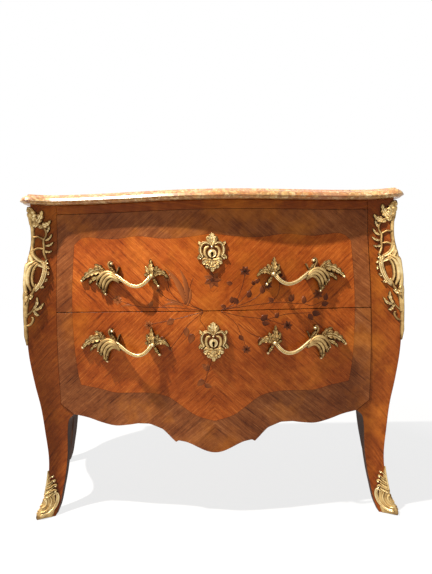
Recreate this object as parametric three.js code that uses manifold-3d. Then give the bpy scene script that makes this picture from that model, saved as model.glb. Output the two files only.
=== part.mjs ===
// A bombe commode chest with a serpentine front: two drawers, a moulded marble top, cabriole legs
// and cast bronze handles, escutcheons, corner mounts and sabots.
// Millimetres, +Z up, the front faces -Y, +X is the viewer's right.
import * as THREE from "three";
import { mergeVertices } from "three/addons/utils/BufferGeometryUtils.js";
import Module from "manifold-3d";

const wasm = await Module();
wasm.setup();

// Driving dimensions of the case. The back plane is y = 0 until the whole part is centred.
const HEIGHT = 880; // floor to marble
const MARBLE = 27; // thickness of the slab
const CORNER_X = 493; // half width between the front arrises, as a plumb line
const CORNER_DEPTH = 430; // back plane to front arris
const STILE_WIDE = 67; // front post, drawer's end to arris
const EAR = 20; // how far the arris stands before the drawer's end
const CROWN = 47; // how far the serpentine front bows out at its middle
const FLARE = 95; // how much wider each side is at the back
const SWELL = 32; // how far the ankles draw in from the plumb line
const TOP_RAIL_TALL = 25;
const UPPER_TALL = 268; // opening of the upper drawer
const LOWER_TALL = 256; // seam between the drawers to the shoulder
const SHOULDER_RISE = 29; // knee to shoulder, where the lower drawer's corner is cut off
const NOTCH_DROP = 68; // knee to the apron's small downward tip
const APRON_DROP = 96; // knee to the lowest point of the apron
const OVERHANG = 24; // marble beak beyond the case

// Clearances
const SEAT = 0.3; // between a piece and what it is fixed to
const REVEAL = 1; // round the drawer fronts
const RUN = 0.3; // between a drawer side and its runner
const PLAY = 3; // above a drawer side
const THROUGH = 5; // overrun of a cut

// Timber sections
const STILE_DEPTH = 90; // front post, arris to back
const REAR_STILE = 60; // rear post, both ways
const LEG_WIDTH = 46; // at the ankle
const PANEL = 20; // side panel thickness
const RAIL = 20; // height of the hidden front rails
const RAIL_DEEP = 55; // a front rail behind the fronts' inner faces
const BACK_RAIL = 22; // thickness of the back frame
const BACK_TOP_HIGH = 53;
const BACK_MIDDLE_HIGH = 40;
const BACK_LOW_HIGH = 50;
const THIN = 8; // dust board, bottom board and back panels
const GROOVE = 6; // depth of the grooves that hold them
const TENON = 24; // length of a rail's tenon
const TENON_THICK = 12;
const SUB_TOP = 10;
const KICKER_HIGH = 25;
const RUNNER_WIDE = 30; // the ledge under a drawer side
const RUNNER_THICK = 14;
const GUIDE_WIDE = 20;
const GUIDE_HIGH = 22;

// Drawers
const FRONT_THICK = 35; // a front at its ends
const INNER_BOW_SHARE = 0.8; // of the crown, on the inner face
const SIDE = 12; // drawer side thickness
const SIDE_REAR = 30; // back plane to the rear end of the sides
const BOARD = 6; // drawer bottom
const BOARD_UP = 8; // drawer bottom above the side's lower edge
const BACK_DROP = 10; // drawer back below the sides
const TAIL_TALL = 40; // a dovetail at its root
const TAIL_SPREAD = 3; // how much it widens each way
const TAILS = 3;

// Locks
const KEY_DOWN_UPPER = 118; // top of the upper opening to its keyhole
const KEY_DOWN_LOWER = 83;
const KEY_R = 2.7;
const KEY_SLOT = 3.4;
const KEY_DROP = 9;
const LOCK_WIDE = 60;
const LOCK_DEEP = 13;
const LOCK_WALL = 2;
const LOCK_BELOW = 24; // case below the keyhole
const LOCK_LET_IN = 2; // pocket in the front
const BOLT_WIDE = 26;
const BOLT_THICK = 5;
const BOLT_TRAVEL = 9;
const BOLT_LONG = 44;
const BOLT_SHY = 1; // rest position below the case's top
const STRIKE = 1.5; // plate thickness
const STRIKE_WIDE = 50;
const STRIKE_DEEP = 9;

// Bronzes
const BRONZE_SEAT = 0.4; // off a curved face
const HANDLE_INSET = 191; // drawer's end to the middle of a handle
const HANDLE_GAP = 90; // seam between the drawers to the handles above and below it
const HANDLE_LONG = 240;
const HANDLE_TALL = 92;
const HANDLE_OUT = 28;
const BOSS_R = 7;
const STUD_R = 3;
const NUT_R = 5.8;
const NUT_THICK = 5;
const NUT_POCKET = 9; // radius of the flat let into the front for a nut
const ESC_WIDE = 74;
const ESC_TALL = 102;
const ESC_OUT = 9;
const MOUNT_DOWN = 7; // marble to the top of a corner mount
const MOUNT_LONG = 372;
const MOUNT_WIDE = 46;
const MOUNT_OUT = 11;
const SABOT_TALL = 124;
const SABOT_WRAP = 34; // reach of the shoe on each face
const SABOT_THICK = 4;
const ARRIS_WIDE = 10; // how far from the arris its two faces turn into each other

const CASE_TOP = HEIGHT - MARBLE;
const TOP_SEAM_Z = CASE_TOP - TOP_RAIL_TALL; // underside of the top rail
const SEAM_Z = TOP_SEAM_Z - UPPER_TALL; // line between the drawers
const SHOULDER_Z = SEAM_Z - LOWER_TALL;
const KNEE_Z = SHOULDER_Z - SHOULDER_RISE; // top of the free leg
const NOTCH_Z = KNEE_Z - NOTCH_DROP;
const APRON_Z = KNEE_Z - APRON_DROP;
const SEAM_X = CORNER_X - STILE_WIDE; // half width of the drawer opening
const SEAM_DEPTH = CORNER_DEPTH - EAR; // back plane to the front at the drawer's end
const FRONT_BACK = SEAM_DEPTH - FRONT_THICK; // to the inner face of a front at its ends
const RAIL_BACK = FRONT_BACK - RAIL_DEEP; // to the back of the front rails
const HANDLE_X = SEAM_X - HANDLE_INSET;
const MOUNT_TOP_Z = CASE_TOP - MOUNT_DOWN;
const POST_BACK = CORNER_DEPTH - STILE_DEPTH;
const REAR_X = CORNER_X + FLARE - REAR_STILE;
const FRONT_HALF = SEAM_X - REVEAL;
const FRONT_SWELL_SHARE = 0.89; // of the swell, on the front
const SIDE_WAVE_SHARE = 0.2; // of the flare, in the sides' plan

// Swell of the arris: [share of the case's height, share of SWELL]
const profileShares = [
  [0, -0.26], [0.03, -0.56], [0.07, -0.76], [0.13, -0.97], [0.19, -1], [0.27, -0.81], [0.35, -0.58],
  [0.43, -0.22], [0.52, 0.11], [0.61, 0.25], [0.7, 0.24], [0.8, 0.04], [0.88, -0.25], [0.94, -0.22],
  [1, -0.1],
];
// Width of a leg's faces: [share of the knee's height, share of LEG_WIDTH]
const legShares = [
  [0, 0.9], [0.17, 0.88], [0.36, 0.9], [0.5, 0.95], [0.71, 1.09], [0.86, 1.23], [0.95, 1.4], [1, 1.74],
];
// Lower edge of the apron: [share of the way from the notch out to the leg, share of the height
// from the notch up to the knee]
const apronShares = [
  [0, 0], [0.05, 0.2], [0.1, 0.43], [0.2, 0.64], [0.32, 0.71], [0.46, 0.62], [0.59, 0.57],
  [0.73, 0.69], [0.86, 0.87], [1, 1],
];
const NOTCH_X = 106; // the apron's small downward tip
const NOTCH_STEP = 4; // rise on the inner side of the tip
const NOTCH_GAP = 7;

// Geometry helpers

// A smooth curve through a table of pairs.
function smooth(table, at) {
  const last = table.length - 1;
  let i = 0;
  while (i < last - 1 && at > table[i + 1][0]) i += 1;
  const slope = (a, b) => (table[b][1] - table[a][1]) / (table[b][0] - table[a][0]);
  const tangent = (k) => slope(Math.max(k - 1, 0), Math.min(k + 1, last));
  const [x0, y0] = table[i];
  const [x1, y1] = table[i + 1];
  const span = x1 - x0;
  const t = Math.min(1, Math.max(0, (at - x0) / span));
  const rise = (1 - t) * (1 - t);
  const fall = t * t;
  return rise * (1 + 2 * t) * y0 + rise * t * span * tangent(i)
    + fall * (3 - 2 * t) * y1 - fall * (1 - t) * span * tangent(i + 1);
}

const lerp = THREE.MathUtils.lerp;

function spread(from, to, count) {
  return Array.from({ length: count + 1 }, (_, i) => lerp(from, to, i / count));
}

// The solid of a closed triangle list, turned to face out.
function solid(points, faces) {
  let volume = 0;
  for (const [a, b, c] of faces) {
    volume += points[a].dot(new THREE.Vector3().crossVectors(points[b], points[c]));
  }
  const turned = volume < 0 ? faces.map(([a, b, c]) => [a, c, b]) : faces;
  const geometry = new THREE.BufferGeometry().setFromPoints(points);
  geometry.setIndex(turned.flat());
  return solidOf(geometry);
}

function solidOf(geometry) {
  geometry.deleteAttribute("normal");
  geometry.deleteAttribute("uv");
  const merged = mergeVertices(geometry);
  return new wasm.Manifold(new wasm.Mesh({
    numProp: 3,
    vertProperties: merged.attributes.position.array,
    triVerts: new Uint32Array(merged.index.array),
  }));
}

// A box between named faces: the corners of a unit box are moved, so its faces lie exactly there.
function block([x0, x1], [y0, y1], [z0, z1]) {
  const geometry = new THREE.BoxGeometry(1, 1, 1);
  const place = geometry.attributes.position;
  for (let i = 0; i < place.count; i += 1) {
    place.setXYZ(
      i,
      place.getX(i) < 0 ? x0 : x1,
      place.getY(i) < 0 ? y0 : y1,
      place.getZ(i) < 0 ? z0 : z1,
    );
  }
  return solidOf(geometry);
}

// A skin through rings of equal count, closed by a flat cap at each end.
// flat names the two directions in which a cap is a plain polygon.
function loft(rings, flat = ["x", "y"]) {
  const count = rings[0].length;
  const points = rings.flat();
  const faces = [];
  for (let r = 0; r < rings.length - 1; r += 1) {
    for (let i = 0; i < count; i += 1) {
      const a = r * count + i;
      const b = r * count + (i + 1) % count;
      faces.push([a, b, b + count], [a, b + count, a + count]);
    }
  }
  const area = THREE.ShapeUtils.area;
  const cap = (r, likeRing) => {
    const outline = rings[r].map(
      (p) => new THREE.Vector2(p[flat[0]], p[flat[1]]),
    );
    const cuts = THREE.ShapeUtils.triangulateShape(outline, []);
    const covered = cuts.reduce(
      (sum, face) => sum + area(face.map((i) => outline[i])),
      0,
    );
    const sameTurn = covered * area(outline) > 0;
    for (const [a, b, c] of cuts) {
      const face = [a, b, c].map((i) => r * count + i);
      faces.push(sameTurn === likeRing ? face : face.reverse());
    }
  };
  cap(0, false);
  cap(rings.length - 1, true);
  return solid(points, faces);
}

// A prism: an outline in two directions, run along the third.
function prism(outline, along, from, to) {
  const flat = ["x", "y", "z"].filter((d) => d !== along);
  const ring = (at) => outline.map(([u, v]) => {
    const p = new THREE.Vector3();
    p[flat[0]] = u;
    p[flat[1]] = v;
    p[along] = at;
    return p;
  });
  return loft([ring(from), ring(to)], flat);
}

function circle(u, v, r, sides) {
  return spread(0, 2 * Math.PI, sides).slice(0, sides)
    .map((a) => [u + r * Math.cos(a), v + r * Math.sin(a)]);
}

function join(pieces) {
  return pieces.reduce((all, one) => all.add(one));
}

// A solid casting: its strands joined, with the small voids sealed between them filled.
function casting(pieces) {
  return join(
    join(pieces)
      .decompose()
      .filter((body) => body.volume() > 0),
  );
}

// Surfaces of the case

const swell = (z) => SWELL * smooth(profileShares, z / CASE_TOP);
const arrisX = (z) => CORNER_X + swell(z);

// How far the front stands before the drawer's ends, in plan.
function bow(x, z) {
  const out = Math.abs(x);
  if (out <= SEAM_X) return CROWN * (1 + Math.cos(Math.PI * out / SEAM_X)) / 2;
  const t = Math.min(1, (out - SEAM_X) / (arrisX(z) - SEAM_X));
  return EAR * (1 - Math.cos(Math.PI * t / 2));
}

const frontY = (x, z) => -(SEAM_DEPTH + FRONT_SWELL_SHARE * swell(z) + bow(x, z));
const innerY = (x) => -(FRONT_BACK + INNER_BOW_SHARE * bow(x, TOP_SEAM_Z));
const arrisY = (z) => frontY(arrisX(z), z);

function sideX(y, z) {
  const t = 1 - y / arrisY(z);
  return arrisX(z) + FLARE * (t - SIDE_WAVE_SHARE * Math.sin(2 * Math.PI * t));
}

// A point over the front: out is the distance before its face.
function onFront(x, z, out) {
  return new THREE.Vector3(x, frontY(x, z) - out, z);
}

// A point over the right front corner: p is negative on the front and positive on the side.
function onCorner(p, z, out) {
  const turn = Math.PI / 2 * THREE.MathUtils.smoothstep(p, -ARRIS_WIDE, ARRIS_WIDE);
  const x = p < 0 ? arrisX(z) + p : sideX(arrisY(z) + p, z);
  const y = p < 0 ? frontY(arrisX(z) + p, z) : arrisY(z) + p;
  return new THREE.Vector3(x + out * Math.sin(turn), y - out * Math.cos(turn), z);
}

// Inner faces of a post, as distances from its outer faces
const legWidth = (z) => LEG_WIDTH * smooth(legShares, z / KNEE_Z);

function postInner(z, outer, stile) {
  if (z <= KNEE_Z) return outer(z) - legWidth(z);
  const knee = outer(KNEE_Z) - legWidth(KNEE_Z);
  return lerp(knee, stile, Math.min(1, (z - KNEE_Z) / (SHOULDER_Z - KNEE_Z)));
}

const frontPostX = (z) => postInner(z, arrisX, SEAM_X);
const frontPostY = (z) => -postInner(z, (h) => -arrisY(h), POST_BACK);
const rearPostX = (z) => postInner(z, (h) => sideX(0, h), REAR_X);
const rearPostY = (z) => postInner(z, () => 0, -REAR_STILE);

// Heights of a post's rings: close together at the foot, where its curve is quick
const FOOT_RINGS = 11;
const CASE_RINGS = 12;
const FOOT_BIAS = 1.4;
const postHeights = [
  ...spread(0, 1, FOOT_RINGS).map((t) => KNEE_Z * Math.pow(t, FOOT_BIAS)),
  ...spread(SHOULDER_Z, CASE_TOP, CASE_RINGS),
];

// Places of the rails
const dividerZ = [SEAM_Z - RAIL / 2, SEAM_Z + RAIL / 2];
const lowRailZ = [SHOULDER_Z + REVEAL, SHOULDER_Z + REVEAL + RAIL];
const backMiddleZ = [SEAM_Z - BACK_MIDDLE_HIGH / 2, SEAM_Z + BACK_MIDDLE_HIGH / 2];
const backLowZ = [lowRailZ[0], lowRailZ[0] + BACK_LOW_HIGH];
const backTopZ = [CASE_TOP - BACK_TOP_HIGH, CASE_TOP];
const backRails = [backTopZ, backMiddleZ, backLowZ];
const railTenonY = [-RAIL_BACK - 2 * TENON_THICK - TENON, -RAIL_BACK - TENON_THICK - TENON];
const backTenonY = [-(BACK_RAIL + TENON_THICK) / 2, -(BACK_RAIL - TENON_THICK) / 2];

// A tenon, or with room its mortise, at the right end of a rail.
function tenon(x, y, z, room) {
  const inset = (z[1] - z[0]) / 6;
  return block(
    [x - THROUGH, x + TENON + room],
    [y[0] - room, y[1] + room],
    [z[0] + inset - room, z[1] - inset + room],
  );
}

function mirrored(make) {
  const right = make();
  return right.add(right.mirror([1, 0, 0]));
}

// Posts

// The front post's body, its two outer faces moved out by grown.
function postBody(grown) {
  return loft(postHeights.map((z) => {
    const inX = frontPostX(z);
    const inY = frontPostY(z);
    const face = spread(inX, arrisX(z), 3).slice(0, 3)
      .map((x) => new THREE.Vector3(x, frontY(x, z) - grown, z));
    const arris = new THREE.Vector3(arrisX(z) + grown, arrisY(z) - grown, z);
    const flank = spread(arrisY(z), inY, 2).slice(1)
      .map((y) => new THREE.Vector3(sideX(y, z) + grown, y, z));
    return [...face, arris, ...flank, new THREE.Vector3(inX, inY, z)];
  }));
}

function frontPost() {
  return postBody(0)
    .subtract(tenon(SEAM_X, railTenonY, dividerZ, SEAT))
    .subtract(tenon(SEAM_X, railTenonY, lowRailZ, SEAT))
    .subtract(tenon(SEAM_X, railTenonY, [TOP_SEAM_Z, CASE_TOP], SEAT));
}

function rearPost() {
  const rings = postHeights.filter((z, i) => i % 2 === 0 || z === SHOULDER_Z || z >= CASE_TOP)
    .map((z) => {
      const inX = rearPostX(z);
      const inY = rearPostY(z);
      const flank = spread(inY, 0, 3).map((y) => new THREE.Vector3(sideX(y, z), y, z));
      return [...flank, new THREE.Vector3(inX, 0, z), new THREE.Vector3(inX, inY, z)];
    });
  let post = loft(rings);
  for (const z of backRails) post = post.subtract(tenon(REAR_X, backTenonY, z, SEAT));
  return post.subtract(backGroove());
}

// The groove in the rear posts and back rails that holds the back panels.
function backGroove() {
  const y = -BACK_RAIL / 2;
  const wide = REAR_X + GROOVE;
  return block(
    [-wide, wide],
    [y - THIN / 2 - SEAT, y + THIN / 2 + SEAT],
    [backLowZ[1] - GROOVE, backTopZ[0] + GROOVE],
  );
}

const SIDE_DROP_SHARE = 0.3; // of the apron's notch, at the middle of a side panel's foot
const SLOPE_LEAST = 8; // depth of the slope beside each post, where a narrow leg leaves less

// A curved side panel between the posts, its foot shaped like the front's apron.
function sidePanel() {
  const from = -POST_BACK;
  const to = -REAR_STILE;
  const slopeFront = Math.min(-frontPostY(KNEE_Z), POST_BACK - SLOPE_LEAST);
  const slopeRear = Math.min(rearPostY(KNEE_Z), to - SLOPE_LEAST);
  const foot = (y) => {
    const front = THREE.MathUtils.clamp((y - from) / (POST_BACK - slopeFront), 0, 1);
    const rear = THREE.MathUtils.clamp((to - y) / (to - slopeRear), 0, 1);
    const t = THREE.MathUtils.clamp((y + slopeFront) / (slopeRear + slopeFront), 0, 1);
    const drop = (KNEE_Z - NOTCH_Z) * SIDE_DROP_SHARE * Math.pow(Math.sin(Math.PI * t), 2);
    return lerp(SHOULDER_Z, KNEE_Z, Math.min(front, rear)) + SEAT - drop;
  };
  const places = [from, -slopeFront, ...spread(-slopeFront, slopeRear, 7).slice(1), to];
  const rings = places.map((y) => {
    const rows = spread(foot(y), CASE_TOP, 9);
    const outer = rows.map((z) => new THREE.Vector3(sideX(y, z), y, z));
    const inner = rows.filter((z, i) => i % 3 === 0).reverse()
      .map((z) => new THREE.Vector3(sideX(y, z) - PANEL, y, z));
    return [...outer, ...inner];
  });
  return loft(rings, ["x", "z"]);
}

// Rails of the front, hidden behind the drawers but for the top one

function frontTopRail() {
  const rings = spread(-SEAM_X, SEAM_X, 16).map((x) => [
    new THREE.Vector3(x, frontY(x, TOP_SEAM_Z), TOP_SEAM_Z),
    new THREE.Vector3(x, frontY(x, CASE_TOP), CASE_TOP),
    new THREE.Vector3(x, -RAIL_BACK, CASE_TOP),
    new THREE.Vector3(x, -RAIL_BACK, TOP_SEAM_Z),
  ]);
  return loft(rings, ["y", "z"])
    .add(mirrored(() => tenon(SEAM_X, railTenonY, [TOP_SEAM_Z, CASE_TOP], 0)))
    .subtract(strikeRoom(TOP_SEAM_Z))
    .subtract(boltRoom(TOP_SEAM_Z));
}

function innerRail(z) {
  const face = spread(-SEAM_X, SEAM_X, 16).map((x) => [x, innerY(x) + REVEAL]);
  const outline = [...face, [SEAM_X, -RAIL_BACK], [-SEAM_X, -RAIL_BACK]];
  return prism(outline, "z", z[0], z[1]).add(mirrored(() => tenon(SEAM_X, railTenonY, z, 0)));
}

const dividerRail = () => innerRail(dividerZ)
  .subtract(boardRoom(dividerZ))
  .subtract(strikeRoom(dividerZ[0]))
  .subtract(boltRoom(dividerZ[0]));
const frontBottomRail = () => innerRail(lowRailZ).subtract(boardRoom(lowRailZ));

function backRail(z) {
  return block([-REAR_X, REAR_X], [-BACK_RAIL, 0], z)
    .add(mirrored(() => tenon(REAR_X, backTenonY, z, 0)));
}

// The middle back rail's grooves, above and below a web that stays.
function middleGrooves() {
  const web = block(
    [-REAR_X - TENON, REAR_X + TENON],
    [-BACK_RAIL, 0],
    [backMiddleZ[0] + GROOVE, backMiddleZ[1] - GROOVE],
  );
  return backGroove().subtract(web);
}

function backPanel(low, high) {
  const wide = REAR_X + GROOVE - SEAT;
  const y = -BACK_RAIL / 2;
  return block(
    [-wide, wide],
    [y - THIN / 2, y + THIN / 2],
    [low - GROOVE + SEAT, high + GROOVE - SEAT],
  );
}

// Runners, kickers and boards

const ledgeX = [SEAM_X - RUNNER_WIDE, SEAM_X + GUIDE_WIDE];

function runner(top) {
  const y = [-RAIL_BACK, -BACK_RAIL];
  return block(ledgeX, y, [top - RUNNER_THICK, top])
    .add(block([SEAM_X, ledgeX[1]], y, [top - RUNNER_THICK, top + GUIDE_HIGH]))
    .subtract(boardRoom([top - RUNNER_THICK, top]));
}

const kicker = () => block(
  [ledgeX[0], SEAM_X],
  [-RAIL_BACK, -BACK_RAIL],
  [CASE_TOP - SUB_TOP - KICKER_HIGH, CASE_TOP - SUB_TOP],
);

// A thin board between the runners and rails of one level, and with room its groove.
function board(z, room) {
  const middle = z[1] - RUNNER_THICK / 2;
  const wide = ledgeX[0] + GROOVE - SEAT + room;
  return block(
    [-wide, wide],
    [-RAIL_BACK - GROOVE + SEAT - room, -BACK_RAIL + GROOVE - SEAT + room],
    [middle - THIN / 2 - room, middle + THIN / 2 + room],
  );
}
const boardRoom = (z) => board(z, SEAT);

const subTop = () => block(
  [-CORNER_X + 2 * PANEL, CORNER_X - 2 * PANEL],
  [-RAIL_BACK + SEAT, -BACK_RAIL - SEAT],
  [CASE_TOP - SUB_TOP, CASE_TOP],
);

// Marble

const EDGE_REACH = 21; // from the beak in to the top's flat
// The edge from the underside to the top: [share of the thickness, share of EDGE_REACH set in]
const edgeShares = [
  [0, 0.42], [0.1, 0.3], [0.22, 0], [0.32, 0.03], [0.48, 0.13], [0.62, 0.28], [0.76, 0.52],
  [0.86, 0.8], [0.9, 0.84], [1, 1],
];

function marbleTop() {
  const half = [];
  const z = CASE_TOP;
  for (const x of spread(0, arrisX(z), 11)) {
    const slope = (frontY(x + REVEAL, z) - frontY(x - REVEAL, z)) / (2 * REVEAL);
    const normal = x < arrisX(z) ? new THREE.Vector2(slope, -1) : new THREE.Vector2(EAR, -CORNER_X);
    half.push([new THREE.Vector2(x, frontY(x, z)), normal.normalize()]);
  }
  const corner = new THREE.Vector2(arrisX(z), arrisY(z));
  for (const a of spread(-Math.PI / 2, 0, 4).slice(1, 4)) {
    half.push([corner, new THREE.Vector2(Math.cos(a), Math.sin(a))]);
  }
  for (const y of spread(arrisY(z), 0, 6)) {
    half.push([new THREE.Vector2(sideX(y, z), y), new THREE.Vector2(1, 0)]);
  }
  const rings = edgeShares.map(([high, inset]) => {
    const out = OVERHANG - EDGE_REACH * inset;
    const right = half.map(([at, normal]) => {
      const p = at.clone().addScaledVector(normal, out);
      return new THREE.Vector3(p.x, Math.min(p.y, 0), CASE_TOP + MARBLE * high);
    });
    const left = right.slice(1).reverse().map((p) => new THREE.Vector3(-p.x, p.y, p.z));
    return [...left, ...right];
  });
  return loft(rings);
}

// Drawers

const drawers = {
  upper: {
    top: TOP_SEAM_Z - REVEAL,
    side: [dividerZ[1] + RUN, CASE_TOP - SUB_TOP - KICKER_HIGH - PLAY],
    key: TOP_SEAM_Z - KEY_DOWN_UPPER,
    lockUnder: TOP_SEAM_Z,
    handle: SEAM_Z + HANDLE_GAP,
    columns: () => spread(-FRONT_HALF, FRONT_HALF, 16),
    foot: () => SEAM_Z + REVEAL,
  },
  lower: {
    top: SEAM_Z - REVEAL,
    side: [lowRailZ[1] + RUN, dividerZ[0] - PLAY],
    key: SEAM_Z - KEY_DOWN_LOWER,
    lockUnder: dividerZ[0],
    handle: SEAM_Z - HANDLE_GAP,
    columns: apronColumns,
    foot: apron,
  },
};

// Height of the lower drawer's shaped edge.
function apron(x) {
  const out = Math.abs(x);
  const kneeX = frontPostX(KNEE_Z) - REVEAL;
  if (out > kneeX) return lerp(KNEE_Z, SHOULDER_Z, (out - kneeX) / (FRONT_HALF - kneeX)) + REVEAL;
  if (out > NOTCH_X) {
    const rise = smooth(apronShares, (out - NOTCH_X) / (kneeX - NOTCH_X));
    return lerp(NOTCH_Z, KNEE_Z + REVEAL, rise);
  }
  const inner = NOTCH_X - NOTCH_GAP;
  const top = NOTCH_Z + NOTCH_STEP;
  if (out > inner) return lerp(top, NOTCH_Z, (out - inner) / NOTCH_GAP);
  return lerp(APRON_Z, top, Math.pow(Math.sin(Math.PI * out / inner / 2), 2));
}

// Columns of the lower front: evenly over each stretch of its edge
function apronColumns() {
  const kneeX = frontPostX(KNEE_Z) - REVEAL;
  const inner = NOTCH_X - NOTCH_GAP;
  const right = [
    ...spread(0, inner, 4),
    ...spread(NOTCH_X, kneeX, 8),
    FRONT_HALF,
  ];
  return [...right.slice(1).reverse().map((x) => -x), ...right];
}

// A drawer front before its cuts, its outer face moved out by grown.
function frontBoard({ top, columns, foot }, grown) {
  const rings = columns().map((x) => {
    const low = foot(x);
    const outer = spread(low, top, 5).map((z) => new THREE.Vector3(x, frontY(x, z) - grown, z));
    return [...outer, new THREE.Vector3(x, innerY(x), top), new THREE.Vector3(x, innerY(x), low)];
  });
  return loft(rings, ["y", "z"]);
}

// One end of a right drawer side: its dovetails, or with room their sockets.
function tails(drawer, root, out, room) {
  const low = drawer.side[0] + BOARD_UP + BOARD + PLAY;
  const step = (drawer.side[1] - BACK_DROP - low) / TAILS;
  const tail = (i) => {
    const middle = low + step * (i + 1 / 2);
    const narrow = TAIL_TALL / 2 + room;
    const wide = narrow + TAIL_SPREAD;
    const tip = root + out * (SIDE + room);
    const start = root - out * room;
    return prism(
      [[start, middle - narrow], [tip, middle - wide], [tip, middle + wide], [start, middle + narrow]],
      "x",
      FRONT_HALF - SIDE - room,
      FRONT_HALF + room,
    );
  };
  return join(spread(0, TAILS - 1, TAILS - 1).map(tail));
}

function keyhole(z, y) {
  const half = KEY_SLOT / 2;
  return prism(circle(0, z, KEY_R, 10), "y", ...y)
    .add(block([-half, half], y, [z - KEY_DROP, z]));
}

// The drawer bottom, its front edge curved like the front it enters; with room its groove.
function drawerBottom(drawer, room) {
  const low = drawer.side[0] + BOARD_UP;
  const wide = FRONT_HALF - SIDE + GROOVE - SEAT + room;
  const face = spread(-wide, wide, 12).map((x) => [x, innerY(x) - GROOVE + SEAT - room]);
  const rear = -SIDE_REAR + (room ? THROUGH : 0);
  return prism([...face, [wide, rear], [-wide, rear]], "z", low - room, low + BOARD + room);
}

const lockPlane = innerY(0) - LOCK_LET_IN; // where the lock's back lies in the front

function lockSpan(drawer) {
  return [drawer.key - LOCK_BELOW, drawer.lockUnder - PLAY];
}

function lockPocket(drawer) {
  const half = LOCK_WIDE / 2 + SEAT;
  const [low, high] = lockSpan(drawer);
  return block([-half, half], [lockPlane - SEAT, -POST_BACK], [low - SEAT, high + SEAT]);
}

// Handle fixings: where each handle's studs pass through the front
const studShares = [0.19, -0.31];
const boltPlaces = studShares.map((share) => HANDLE_X + HANDLE_LONG * share);

function studRoom(drawer, x) {
  const z = drawer.handle;
  const hole = prism(circle(x, z, STUD_R + 2 * SEAT, 6), "y", frontY(0, z) - THROUGH, -POST_BACK);
  const flat = innerY(x) - LOCK_LET_IN;
  return hole.add(prism(circle(x, z, NUT_POCKET, 8), "y", flat, -POST_BACK));
}

function drawerFront(drawer) {
  let board = frontBoard(drawer, 0);
  const sockets = tails(drawer, -FRONT_BACK, -1, SEAT);
  const keyY = [frontY(0, drawer.key) - THROUGH, -POST_BACK];
  const cuts = [
    sockets,
    sockets.mirror([1, 0, 0]),
    drawerBottom(drawer, SEAT),
    lockPocket(drawer),
    keyhole(drawer.key, keyY),
  ];
  for (const x of boltPlaces) {
    const room = studRoom(drawer, x);
    cuts.push(room, room.mirror([1, 0, 0]));
  }
  for (const cut of cuts) board = board.subtract(cut);
  return board;
}

function drawerSide(drawer) {
  const x = [FRONT_HALF - SIDE, FRONT_HALF];
  const [low, high] = drawer.side;
  const step = low + BOARD_UP + BOARD + SEAT;
  const root = -FRONT_BACK + SEAT;
  return block(x, [root, -SIDE_REAR], [low, step])
    .add(block(x, [root, -SIDE_REAR - SIDE], [low, high]))
    .add(tails(drawer, root, -1, 0))
    .add(tails(drawer, -SIDE_REAR - SIDE, 1, 0))
    .subtract(drawerBottom(drawer, SEAT));
}

function drawerBack(drawer) {
  const low = drawer.side[0] + BOARD_UP + BOARD + 2 * SEAT;
  const sockets = tails(drawer, -SIDE_REAR - SIDE, 1, SEAT);
  return block(
    [-FRONT_HALF, FRONT_HALF],
    [-SIDE_REAR - SIDE + SEAT, -SIDE_REAR],
    [low, drawer.side[1] - BACK_DROP],
  ).subtract(sockets).subtract(sockets.mirror([1, 0, 0]));
}

// Locks

const boltBack = lockPlane + LOCK_DEEP - LOCK_WALL - SEAT;
const boltY = [boltBack - BOLT_THICK, boltBack];

function lockBolt(drawer) {
  const top = lockSpan(drawer)[1] - BOLT_SHY;
  const half = BOLT_WIDE / 2;
  const bar = block([-half, half], boltY, [top - BOLT_LONG, top]);
  const notch = block(
    [-KEY_DROP, KEY_DROP],
    [boltY[0] - THROUGH, boltY[1] + THROUGH],
    [top - BOLT_LONG - THROUGH, top - BOLT_LONG + KEY_DROP],
  );
  return bar.subtract(notch);
}

// The room that a bolt needs over its travel, in the case or in the rail above.
function boltPath(z, room) {
  const half = BOLT_WIDE / 2 + room;
  return block([-half, half], [boltY[0] - room, boltY[1] + room], z);
}

function boltRoom(under) {
  return boltPath([under - THROUGH, under + STRIKE + BOLT_TRAVEL + PLAY], REVEAL);
}

function lockCase(drawer) {
  const [low, high] = lockSpan(drawer);
  const half = LOCK_WIDE / 2;
  const y = [lockPlane, lockPlane + LOCK_DEEP];
  const foot = high - BOLT_SHY - BOLT_LONG - KEY_DROP;
  return block([-half, half], y, [low, high])
    .subtract(boltPath([foot, high + THROUGH], SEAT))
    .subtract(keyhole(drawer.key, [y[0] - THROUGH, y[1] - LOCK_WALL]));
}

// A strike plate under a rail, or with room the recess that it lies in.
function strikePlate(low, high, room) {
  const half = STRIKE_WIDE / 2 + room;
  const middle = (boltY[0] + boltY[1]) / 2;
  const deep = STRIKE_DEEP / 2 + room;
  return block([-half, half], [middle - deep, middle + deep], [low, high]);
}
const strikeRoom = (under) => strikePlate(under - THROUGH, under + STRIKE + SEAT, SEAT);
const strike = (under) => strikePlate(under, under + STRIKE, 0).subtract(boltRoom(under));

// Bronzes: each is modelled over its carrier, and what is sunk in the carrier is cut to its face. The
// places of a casting are [along, up, out, radius], in shares of its length, height and projection.

// The way through such places: its frame at a share t, and its steps, of which one ends at each place.
function wayThrough(shares, size) {
  const points = shares.map((s) => new THREE.Vector3(...s.slice(0, 3)).multiply(size));
  const curve = new THREE.CatmullRomCurve3(points, false, "centripetal");
  const spans = shares.length - 1;
  const radii = shares.map((s, i) => [i / spans, s[3] * size.z]);
  const thick = radii.reduce((sum, [, r]) => sum + r, 0) / radii.length;
  const at = (t) => {
    const way = curve.getTangent(t);
    const across = new THREE.Vector3(-way.y, way.x, 0).normalize();
    return { middle: curve.getPoint(t), way, across, radius: smooth(radii, t) };
  };
  const each = Math.round(curve.getLength() / (spans * RING_STEP_SHARE * thick));
  return { at, steps: spans * Math.max(1, each) };
}
const RING_STEP_SHARE = 6; // about a strand's step from ring to ring, of its radius

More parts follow.
